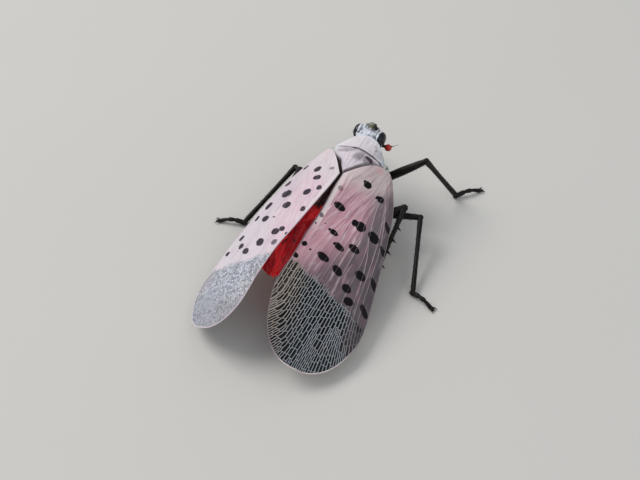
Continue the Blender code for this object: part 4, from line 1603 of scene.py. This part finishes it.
    def white(self, co: Vector) -> float:
        """Where the wax lies thickest: beside the eyes and in a streak on each side of the crown."""
        streak = hump(abs(co.x), 0.68, 0.07) * ease(-0.5, -0.2, co.y) * ease(0.4, 0.25, co.y)
        orbit = 0.8 * hump(abs(co.x), 1.03, 0.07) * ease(-0.3, 0.2, co.z)
        ridge = 0.5 * hump(co.x, 0, 0.2) * ease(0.5, 0.8, co.z)
        return max(streak * ease(0.4, 0.6, co.z), orbit, ridge)

    def olive(self, co: Vector) -> float:
        """Where the horn-coloured process shows through the wax."""
        return ease(0.98, 1.06, co.z) * ease(0.05, -0.15, co.y) * (0.95 + 0.4 * noise.noise(co * 3.0))

    def eyes(self, side: Side, looks: dict[str, bpy.types.Material]) -> None:
        """The eye and the small simple eye in front of it."""
        x, y, z = self.eye_place
        shape = bmesh.new()
        add_ball(shape, (side.value * (x - 0.17), y + 0.02, z - 0.05), (0.48, 0.74, 0.72), 64, 40)
        WORK.piece(f"eye_{side.word}_globe", self.placed(shape), looks["eye"], [f"eye_{side.word}"])
        bead = bmesh.new()
        add_ball(bead, (side.value * 1.1, y - 0.54, z - 0.5), (0.09, 0.09, 0.09), 16, 10)
        WORK.piece(f"ocellus_{side.word}", self.placed(bead), looks["ocellus"])

    def antenna(self, side: Side, looks: dict[str, bpy.types.Material]) -> None:
        """The bulb with its sensing knobs, its neck and the bristle.

        Args:
            side: Which antenna.
            looks: The head's materials by name.
        """
        sign = side.value
        start, centre = (Vector((sign * x, y, z)) for x, y, z in (self.scape, self.bulb))
        if side is Side.LEFT:
            centre += Vector(self.left_droop)
        shape = bmesh.new()
        add_ball(shape, centre, (self.bulb_radius,) * 3, 56, 36)
        push(shape, lambda co: 0.015 * max(noise.noise(co * 9.0), 0.0))
        add_tube(shape, (start.lerp(centre, 0.62), centre), (0.16, 0.22), 24)
        WORK.piece(f"antenna_{side.word}_bulb", self.placed(shape), looks["antenna"],
                   [f"antenna_{side.word}"])
        direction = Vector((sign * 0.72, -0.42, 0.3)).normalized()
        bristle = bmesh.new()
        add_tube(bristle, (start, start.lerp(centre, 0.4), start.lerp(centre, 0.68)), (0.17, 0.15, 0.17), 20)
        route = [centre + direction * far + UP * (0.06 * far * far) for far in (0.28, 0.4, 0.46, 0.75, 1.1)]
        add_tube(bristle, route, (0.085, 0.07, 0.026, 0.018, 0.006), 10)
        WORK.piece(f"antenna_{side.word}_bristle", self.placed(bristle), looks["dark"])

    def beak(self, looks: dict[str, bpy.types.Material]) -> None:
        """The jointed beak folded back under the body, with a groove along it."""
        path = ((0.3, -4.35, 4.75), (0.22, -3.95, 4.2), (0.12, -3.3, 3.65), (0.0, -2.0, 3.4),
                (0.0, -0.7, 3.3), (0.0, 0.4, 3.2), (0.0, 1.5, 3.2), (0.0, 2.5, 3.25))
        shape = bmesh.new()
        add_tube(shape, path, (0.26, 0.29, 0.27, 0.25, 0.21, 0.22, 0.17, 0.09), 16)
        push(shape, lambda co: -0.05 * hump(co.x, 0, 0.05) * ease(0.0, -0.1, co.z - 3.4))
        WORK.piece("beak_sheath", shape, looks["dark"], ["rostrum"])

    def build(self) -> None:
        """Makes the head's pieces."""
        head = WaxFinish("head_wax", (220, 224, 234), (176, 180, 190), (24, 25, 28), 0.9,
                         tint=(92, 94, 62), frost=(240, 242, 250)).build()
        amber = CuticleFinish("ocellus_amber", (90, 40, 18), (120, 60, 24), 0.0, 0.15)
        looks = {"eye": EyeFinish().build(), "antenna": BulbFinish().build(), "ocellus": amber.build(),
                 "dark": CuticleFinish("beak_brown", (40, 32, 28), (70, 56, 46), 0.2).build()}
        skin = self.skin()
        mark(skin, self.shade)
        mark(skin, self.olive, "tint")
        mark(skin, self.white, "frost")
        WORK.piece("head_skin", self.placed(skin), head, ["head"])
        for side in Side:
            self.eyes(side, looks)
            self.antenna(side, looks)
        self.beak(looks)


@dataclass
class Body:
    """The thorax under the plates and the banded abdomen."""

    thorax: Sequence[Point] = ((-3.72, 6.35, 0.95, 0.72), (-2.7, 6.05, 1.55, 1.15), (-1.6, 5.75, 1.95, 1.42),
                               (-0.2, 5.6, 2.05, 1.45), (1.2, 5.35, 2.05, 1.32), (2.4, 4.8, 2.0, 1.0),
                               (3.3, 4.55, 1.95, 0.85))
    abdomen: Sequence[Point] = ((3.2, 4.35, 1.9, 0.9), (5.0, 3.95, 2.2, 1.25), (7.0, 3.62, 2.25, 1.35),
                                (9.0, 3.2, 2.15, 1.2), (10.8, 2.7, 1.75, 1.0), (12.0, 2.4, 1.15, 0.8),
                                (12.9, 2.25, 0.5, 0.45))
    segments: int = 8

    def thorax_skin(self) -> bmesh.types.BMesh:
        """The trunk with the side plates that carry the legs and the hinges of the wings."""
        shape = bmesh.new()
        steps = 15
        points, radii = [(0, -4.1, 6.45)], [0.6]
        for k in range(steps):
            y = self.thorax[0][0] + (self.thorax[-1][0] - self.thorax[0][0]) * k / (steps - 1)
            points.append((0, y, smooth(self.thorax, y, 1)))
            radii.append(smooth(self.thorax, y, 3))
        points.append((0, 3.7, 4.4))
        radii.append(0.75)
        add_tube(shape, points, radii, 28, 1.42)
        for name, leg in LEGS.items():
            side = Side.RIGHT if "right" in name else Side.LEFT
            add_ball(shape, (side.value * 1.15, leg[0][1] - 0.1, 5.0), (0.85, 0.72, 0.8), 20, 12)
        for side in Side:
            add_ball(shape, (side.value * 1.9, -1.2, 6.4), (0.7, 0.6, 0.55), 20, 12)
            add_ball(shape, (side.value * 1.75, 0.6, 6.2), (0.55, 0.8, 0.5), 20, 12)
        add_ball(shape, (0, -0.6, 6.9), (1.9, 1.6, 0.75), 24, 14)
        add_ball(shape, (0, 1.9, 6.1), (1.5, 1.3, 0.6), 24, 14)
        skin = fused(shape, 0.075, 3)
        push(skin, lambda co: 0.05 * noise.noise(co * 1.6) - 0.06 * hump(co.y, -1.95, 0.06)
             - 0.06 * hump(co.y, 1.75, 0.06))
        mark(skin, lambda co: min(1.0, 0.25 + 0.75 * ease(6.6, 5.2, co.z) * (0.6 + noise.noise(co * 1.3))))
        return skin

    def abdomen_skin(self) -> bmesh.types.BMesh:
        """Eight telescoped rings, each with a raised hind edge, and the end plates."""
        shape = bmesh.new()
        rings = 96
        first, last = self.abdomen[0][0], self.abdomen[-1][0]
        made = bmesh.ops.create_cone(shape, cap_ends=True, segments=48, radius1=1, radius2=1, depth=1)
        edges = {edge for vert in made["verts"] for edge in vert.link_edges
                 if abs(edge.verts[0].co.z - edge.verts[1].co.z) > 0.5}
        bmesh.ops.subdivide_edges(shape, edges=list(edges), cuts=rings - 2, use_grid_fill=True)
        for vert in shape.verts:
            y = first + (last - first) * (vert.co.z + 0.5)
            height, half_width, half_height = (smooth(self.abdomen, y, column) for column in (1, 2, 3))
            step = 0.94 + 0.08 * self.phase(y) ** 1.5
            furrow = 1 - 0.12 * hump(abs(vert.co.x), 0.93, 0.05)
            z = height + vert.co.y * half_height * step
            vert.co = Vector((vert.co.x * half_width * step * furrow, y, z))
        bmesh.ops.recalc_face_normals(shape, faces=shape.faces)
        end = first + (last - first) * 0.96
        add_ball(shape, (0, end, 2.38), (0.55, 0.6, 0.45), 20, 14)
        mark(shape, self.band)
        return shape

    def band(self, co: Vector) -> float:
        """How dark the abdomen is at a place: a wide band on its back and a narrower one below."""
        if co.z > smooth(self.abdomen, co.y, 1) - 0.5:
            return ease(0.35, 0.15, self.phase(co.y))
        return 0.6 * ease(0.25, 0.1, self.phase(co.y))

    def phase(self, y: float) -> float:
        """How far a place lies along its own segment, from 0 to 1."""
        first, last = self.abdomen[0][0], self.abdomen[-1][0]
        return (y - first) / (last - first) * self.segments % 1.0

    def build(self) -> None:
        """Makes the body."""
        trunk = WaxFinish("thorax_dusk", (142, 130, 126), (92, 78, 72), (24, 19, 18), 0.5, (), 0.55)
        WORK.piece("thorax_trunk", self.thorax_skin(), trunk.build(), ["thorax"])
        WORK.piece("abdomen_rings", self.abdomen_skin(), BandedFinish().build(), ["abdomen"])


# Hip, knee, heel and toe of each leg
LEGS = {
    "fore_right": ((-1.6, -2.95, 3.65), (-5.5, -4.84, 6.36), (-7.7, -7.76, 0.3), (-9.34, -9.6, 0.2)),
    "mid_right": ((-2.2, 0.7, 2.9), (-7.04, -0.64, 3.3), (-9.48, 5.83, 0.3), (-11.68, 6.57, 0.2)),
    "hind_right": ((-1.8, 2.75, 3.2), (-5.54, -0.22, 4.24), (-5.75, 7.7, 0.3), (-6.4, 10.0, 0.2)),
    "fore_left": ((1.6, -2.95, 3.65), (2.2, -7.4, 4.4), (4.5, -9.8, 0.3), (4.5, -11.6, 0.2)),
    "mid_left": ((2.2, 0.7, 3.2), (6.55, -1.04, 3.4), (8.78, 5.18, 0.3), (10.99, 5.92, 0.2)),
    "hind_left": ((1.8, 2.75, 3.1), (5.45, 0.0, 4.4), (6.4, 8.0, 0.3), (7.2, 10.3, 0.2)),
}


@dataclass
class Leg:
    """One leg: coxa, trochanter, femur, tibia, three-jointed foot, claws, spines and hairs."""

    name: str
    tibia_radius: float = 0.25
    heel_radius: float = 0.27
    arch: float = 0.3
    claw_length: float = 0.45
    spines: Sequence[float] = (0.22, 0.36, 0.5, 0.66)
    spine_length: float = 0.75

    def __post_init__(self) -> None:
        """Reads the joints of this leg."""
        self.hip, self.knee, self.heel, self.toe = (Vector(p) for p in LEGS[self.name])
        pair, side = self.name.split("_")
        self.pair = Pair[pair.upper()]
        self.side = Side[side.upper()]
        self.root = Vector((self.side.value * 0.85, self.hip.y - 0.1, 4.9))

    @staticmethod
    def add_limb(shape: bmesh.types.BMesh, start: Vector, end: Vector, profile: Sequence[Point],
                 flat: float = 1.0) -> None:
        """Adds a length of leg whose radius follows a profile of place and radius."""
        shares = [k / 14 for k in range(15)]
        points = [start.lerp(end, share) for share in shares]
        add_tube(shape, points, [smooth(profile, share) for share in shares], 14, flat)

    @staticmethod
    def add_hairs(shape: bmesh.types.BMesh, start: Vector, end: Vector, radius: float, count: int,
                  rng: random.Random) -> None:
        """Adds short stiff hairs that lean towards the foot.

        Args:
            shape: The leg's shape.
            start: Start of the limb.
            end: Its end.
            radius: Its radius.
            count: Number of hairs.
            rng: Source of their directions and lengths.
        """
        ahead = (end - start).normalized()
        side_way = ahead.cross(UP).normalized()
        up = side_way.cross(ahead)
        for k in range(count):
            angle = rng.uniform(0, 2 * math.pi)
            out = side_way * math.cos(angle) + up * math.sin(angle)
            base = start.lerp(end, (k + 0.5) / count) + out * radius * 0.86
            tip = base + (out * 0.55 + ahead * 0.8).normalized() * rng.uniform(0.14, 0.24)
            if tip.z > 0.03:
                add_tube(shape, (base, tip), (0.022, 0.004), 4)

    def add_foot(self, shape: bmesh.types.BMesh) -> None:
        """Adds the three joints of the foot, the pad and the two claws."""
        run = self.toe - self.heel
        places = (-0.12, 0.0, 0.16, 0.3, 0.36, 0.42, 0.52, 0.6, 0.66, 0.74, 0.86, 1.0, 1.07)
        radii = (0.2, 0.25, 0.24, 0.24, 0.17, 0.18, 0.22, 0.22, 0.15, 0.17, 0.19, 0.21, 0.12)
        points = []
        for share in places:
            rise = self.arch * math.sin(math.pi * min(max(share, 0.0), 1.0)) - 0.03 * (share > 0.9)
            points.append(self.heel + run * share + UP * rise)
        add_tube(shape, points, radii, 12)
        forward = Vector((run.x, run.y, 0)).normalized()
        across = forward.cross(UP)
        add_ball(shape, self.toe + forward * 0.26 - UP * 0.06, (0.15, 0.15, 0.09), 14, 8)
        for sign in (-1, 1):
            base = self.toe + forward * 0.05 + across * sign * 0.08
            route = []
            for k in range(6):
                share = k / 5
                spread = across * (sign * 0.26 * share * (1.3 - 0.4 * share))
                rise = 0.1 * math.sin(math.pi * share) - 0.1 * share
                route.append(base + forward * (self.claw_length * share) + spread + UP * rise)
            add_tube(shape, route, (0.09, 0.085, 0.07, 0.055, 0.035, 0.008), 8)

    def add_spines(self, shape: bmesh.types.BMesh) -> None:
        """Adds the crown of spines above the heel and, on a hind leg, the large ones along the tibia."""
        ahead = (self.heel - self.knee).normalized()
        across = ahead.cross(UP).normalized()
        crown = 5 if self.pair is Pair.HIND else 3
        for k in range(crown):
            angle = math.pi * (0.15 + 0.7 * k / (crown - 1))
            out = across * math.cos(angle) * self.side.value - across.cross(ahead) * math.sin(angle) * 0.4
            base = self.heel - ahead * 0.15 + out * 0.12
            tip = base + (out + ahead * 0.5).normalized() * 0.3
            add_tube(shape, (base, base.lerp(tip, 0.5), tip), (0.07, 0.05, 0.01), 8)
        if self.pair is Pair.HIND:
            lean = (Vector((self.side.value, 0, 0.2)) + ahead * 0.6).normalized()
            for share in self.spines:
                base = self.knee.lerp(self.heel, share)
                tip = base + lean * self.spine_length
                add_tube(shape, (base, base.lerp(tip, 0.5), tip), (0.14, 0.1, 0.015), 10)

    def build(self, look: bpy.types.Material, hair_seed: int) -> None:
        """Makes the leg as one piece.

        Args:
            look: The material.
            hair_seed: Seed of the hairs.
        """
        rng = random.Random(hair_seed)
        femur, knee = self.pair.value
        tibia, heel = self.tibia_radius, self.heel_radius
        shape = bmesh.new()
        self.add_limb(shape, self.root, self.hip, ((0, 0.46), (0.35, 0.52), (0.75, 0.46), (1, 0.34)))
        self.add_limb(shape, self.hip, self.knee,
                      ((0, femur * 0.8), (0.18, femur), (0.5, femur * 1.04), (0.82, femur * 0.86),
                       (0.93, knee * 1.02), (1, knee * 0.95)), 0.92)
        self.add_limb(shape, self.knee, self.heel, ((0, knee * 0.9), (0.07, knee), (0.18, tibia),
                                                    (0.6, tibia * 0.94), (0.93, heel), (1, heel * 0.8)), 0.9)
        add_ball(shape, self.hip, (0.4,) * 3, 18, 12)
        add_ball(shape, self.knee, (knee * 1.02,) * 3, 18, 12)
        add_ball(shape, self.heel, (heel * 0.92,) * 3, 16, 10)
        self.add_foot(shape)
        self.add_hairs(shape, self.hip, self.knee, femur, 60, rng)
        self.add_hairs(shape, self.knee, self.heel, tibia, 90, rng)
        self.add_spines(shape)
        for vert in shape.verts:
            vert.co.z = max(vert.co.z, 0.0)
        nodes = [f"{self.name}_{part}" for part in ("coxa", "femur", "tibia", "tarsus")]
        WORK.piece(f"leg_{self.name}", shape, look, nodes)


@dataclass
class Studio:
    """The camera at the photo's angle, the floor and the soft light.

    The anchor is a point of the insect, and anchor_pixel is where it shows in the photo. The lamps have a
    name, a place in metres, a size, a power in watts and a colour.
    """

    azimuth: float = 208.0
    elevation: float = 46.0
    picture: tuple[int, int] = (640, 480)
    anchor: Point = (0.0, 1.9, 8.1)
    anchor_pixel: tuple[float, float] = (341.7, 172.4)
    focal_pixels: float = 1500.0
    pixels_per_mm: float = 10.9
    sensor: float = 36.0
    sky: tuple[float, ...] = (0.9, 0.95, 1.0, 1.0)
    sky_strength: float = 0.43
    lamps: Sequence[tuple] = (("key", (0.32, 0.02, 0.37), 0.28, 1.3, (1, 0.98, 0.96)),
                              ("fill", (-0.35, 0.2, 0.3), 0.4, 0.35, (0.93, 0.96, 1)))

    def camera(self) -> None:
        """Sets up the camera."""
        a, e = math.radians(self.azimuth), math.radians(self.elevation)
        right = Vector((math.cos(a), math.sin(a), 0))
        back = Vector((math.sin(a) * math.cos(e), -math.cos(a) * math.cos(e), math.sin(e)))
        up = back.cross(right)
        far = self.focal_pixels / self.pixels_per_mm
        beside, below = ((pixel - size / 2) / self.pixels_per_mm
                         for pixel, size in zip(self.anchor_pixel, self.picture))
        place = Vector(self.anchor) + back * far - right * beside + up * below
        data = bpy.data.cameras.new("camera")
        data.sensor_width = self.sensor
        data.lens = self.focal_pixels / self.picture[0] * self.sensor
        data.clip_start = 0.001
        made = bpy.data.objects.new("camera", data)
        made.matrix_world = pose((place + WORK.offset) * MM, right, up, back)
        bpy.context.scene.collection.objects.link(made)
        bpy.context.scene.camera = made

    def floor(self) -> None:
        """Makes the floor."""
        shape = bmesh.new()
        bmesh.ops.create_grid(shape, x_segments=4, y_segments=4, size=1.5)
        made = WORK.object("floor", shape)
        made.data.materials.append(FloorFinish().build())

    @staticmethod
    def lamp(name: str, place: Point, size: float, power: float, colour: Point) -> None:
        """Adds a soft lamp that faces the insect.

        Args:
            name: Name of the lamp.
            place: Where it hangs, in metres.
            size: Side of its square.
            power: Its power in watts.
            colour: Its colour.
        """
        data = bpy.data.lights.new(name, "AREA")
        data.shape = "SQUARE"
        data.size = size
        data.energy = power
        data.color = colour
        made = bpy.data.objects.new(name, data)
        made.location = place
        made.rotation_euler = (Vector((0, 0, 0.005)) - Vector(place)).to_track_quat("-Z", "Y").to_euler()
        bpy.context.scene.collection.objects.link(made)

    def light(self) -> None:
        """Lights the scene softly from above."""
        world = bpy.data.worlds.new("studio")
        world.use_nodes = True
        shader = world.node_tree.nodes["Background"]
        shader.inputs["Color"].default_value = self.sky
        shader.inputs["Strength"].default_value = self.sky_strength
        bpy.context.scene.world = world
        for row in self.lamps:
            self.lamp(*row)

    def build(self) -> None:
        """Makes the studio."""
        self.camera()
        self.floor()
        self.light()
        bpy.context.scene.view_settings.view_transform = "Standard"


# Spots of the forewings: middle across and along, half sizes and turn, and a depth where one is faint
RIGHT_SPOTS = spots((
    (-0.04, 1.97, 0.45, 0.36, 175), (-0.4, 1.85, 0.19, 0.15, 118), (-2.27, 3.67, 0.28, 0.26, 18, 0.55),
    (1.76, 2.52, 0.38, 0.35, 142), (1.34, 2.53, 0.25, 0.15, 114), (-1.68, 5.41, 0.62, 0.39, 8),
    (-2.96, 7.13, 0.25, 0.21, 38, 0.75), (-3.16, 8.16, 0.1, 0.08, 112), (-2.32, 7.73, 0.07, 0.06, 72),
    (0.9, 6.19, 0.55, 0.52, 161), (0.25, 6.13, 0.38, 0.32, 116), (2.41, 6.51, 0.67, 0.5, 30),
    (3.33, 4.63, 0.45, 0.28, 52), (-1.28, 8.12, 0.47, 0.29, 10), (-1.76, 8.02, 0.16, 0.15, 117),
    (-3.41, 10.49, 0.28, 0.25, 115), (-2.72, 10.73, 0.1, 0.1, 124), (-0.37, 9.15, 0.57, 0.34, 12),
    (-0.83, 9.09, 0.18, 0.15, 115), (1.06, 8.58, 0.61, 0.38, 14), (-1.39, 10.8, 0.64, 0.38, 12),
    (3.67, 7.12, 0.43, 0.3, 44), (0.3, 11.35, 0.58, 0.4, 28), (2.48, 10.71, 0.57, 0.43, 25),
    (3.97, 10.71, 0.61, 0.32, 48), (1.68, 12.49, 0.49, 0.41, 22), (-0.59, 13.55, 0.21, 0.2, 178),
    (2.26, 13.55, 0.5, 0.41, 0), (3.89, 13.59, 0.56, 0.33, 46), (3.87, 15.36, 0.39, 0.34, 29, 0.8),
    (-3.77, 11.91, 0.3, 0.24, 32)))
LEFT_SPOTS = spots((
    (0.03, 2.19, 0.5, 0.35, 6), (-1.61, 1.86, 0.25, 0.2, 17, 0.6), (-0.72, 3.19, 0.5, 0.3, 0),
    (-2.0, 4.34, 0.39, 0.28, 155), (-0.83, 4.97, 0.49, 0.41, 162), (2.07, 2.0, 0.35, 0.22, 43),
    (2.7, 4.21, 0.41, 0.2, 79), (1.69, 5.51, 0.63, 0.51, 179), (0.33, 6.9, 0.56, 0.42, 169),
    (2.73, 7.22, 0.5, 0.29, 89), (-2.31, 7.18, 0.44, 0.28, 142), (2.99, 8.87, 0.34, 0.18, 91),
    (1.73, 8.8, 0.44, 0.39, 163), (0.71, 8.48, 0.17, 0.08, 2), (-1.2, 10.23, 0.58, 0.39, 162),
    (-1.8, 9.81, 0.46, 0.28, 157), (-0.22, 11.64, 0.63, 0.4, 152), (-2.26, 11.49, 0.43, 0.32, 154, 0.8),
    (-2.97, 10.33, 0.3, 0.15, 151), (3.06, 11.35, 0.37, 0.24, 75), (2.16, 12.29, 0.44, 0.31, 146),
    (0.92, 12.82, 0.51, 0.35, 153), (3.42, 13.28, 0.29, 0.21, 88)))

# Tones of the two forewings: the wings' own colours with painted light laid into them. The right wing's
# costal side and far part are painted darker, as painted shade where it turns from the light; the left
# wing's tones, spots and tip cells are painted paler, with a painted glint, as painted light where it
# catches the light.
RIGHT_SHADED_TONES = WingTones(root=(226, 208, 206), rose=(216, 160, 174), costal=(116, 102, 110), far=(98, 90, 95),
                  stripe=(238, 220, 220), salmon=(236, 176, 172), vein=(238, 214, 220), cell=(13, 15, 19),
                  cell_edge=(66, 56, 52), tip=(34, 38, 42), painted_glint=(70, 76, 84), painted_glint_share=0.0,
                  spot=(18, 13, 17), streak=(158, 118, 134))
LEFT_LIT_TONES = WingTones(root=(226, 214, 218), rose=(230, 200, 212), costal=(216, 200, 208), far=(226, 216, 222),
                   stripe=(232, 220, 224), salmon=(226, 202, 204), vein=(238, 228, 232),
                   cell=(116, 116, 128), cell_edge=(150, 142, 146), tip=(120, 112, 120),
                   painted_glint=(240, 242, 250), painted_glint_share=0.9, spot=(58, 48, 60), streak=(204, 184, 196))


def main() -> None:
    """Builds the insect and the studio round it."""
    logging.basicConfig(level=logging.INFO, format="%(message)s")
    right = MembraneFinish("forewing_right_skin", RIGHT_SHADED_TONES, RIGHT_SPOTS, 13.65, 0.36)
    left = MembraneFinish("forewing_left_skin", LEFT_LIT_TONES, LEFT_SPOTS, 13.95, 0.4)
    # The left net's veins are painted paler than the right net's: painted light, as on the wings' tones.
    right_net = NetFinish("net_right", (158, 164, 171), (178, 166, 156), (118, 110, 112))
    left_net = NetFinish("net_left", (206, 209, 217), (194, 190, 194), (176, 172, 178))
    Forewing(Side.RIGHT, tip=(-5.04, 19.94, 2.02), roof=32.5, bow_up=0.68, twist=-9.7, bow_side=-0.24,
             finish=right, net=right_net).build()
    Forewing(Side.LEFT, tip=(4.69, 19.97, 2.4), roof=35.1, bow_up=0.65, twist=12.6, bow_side=0.05,
             finish=left, net=left_net).build()
    Hindwings().build()
    Plates().build()
    Head().build()
    Body().build()
    leg_look = CuticleFinish("leg_black").build()
    for seed, name in enumerate(LEGS):
        Leg(name).build(leg_look, seed)
    Studio().build()
    LOG.info("%d pieces", WORK.count)


if __name__ == "__main__":
    main()
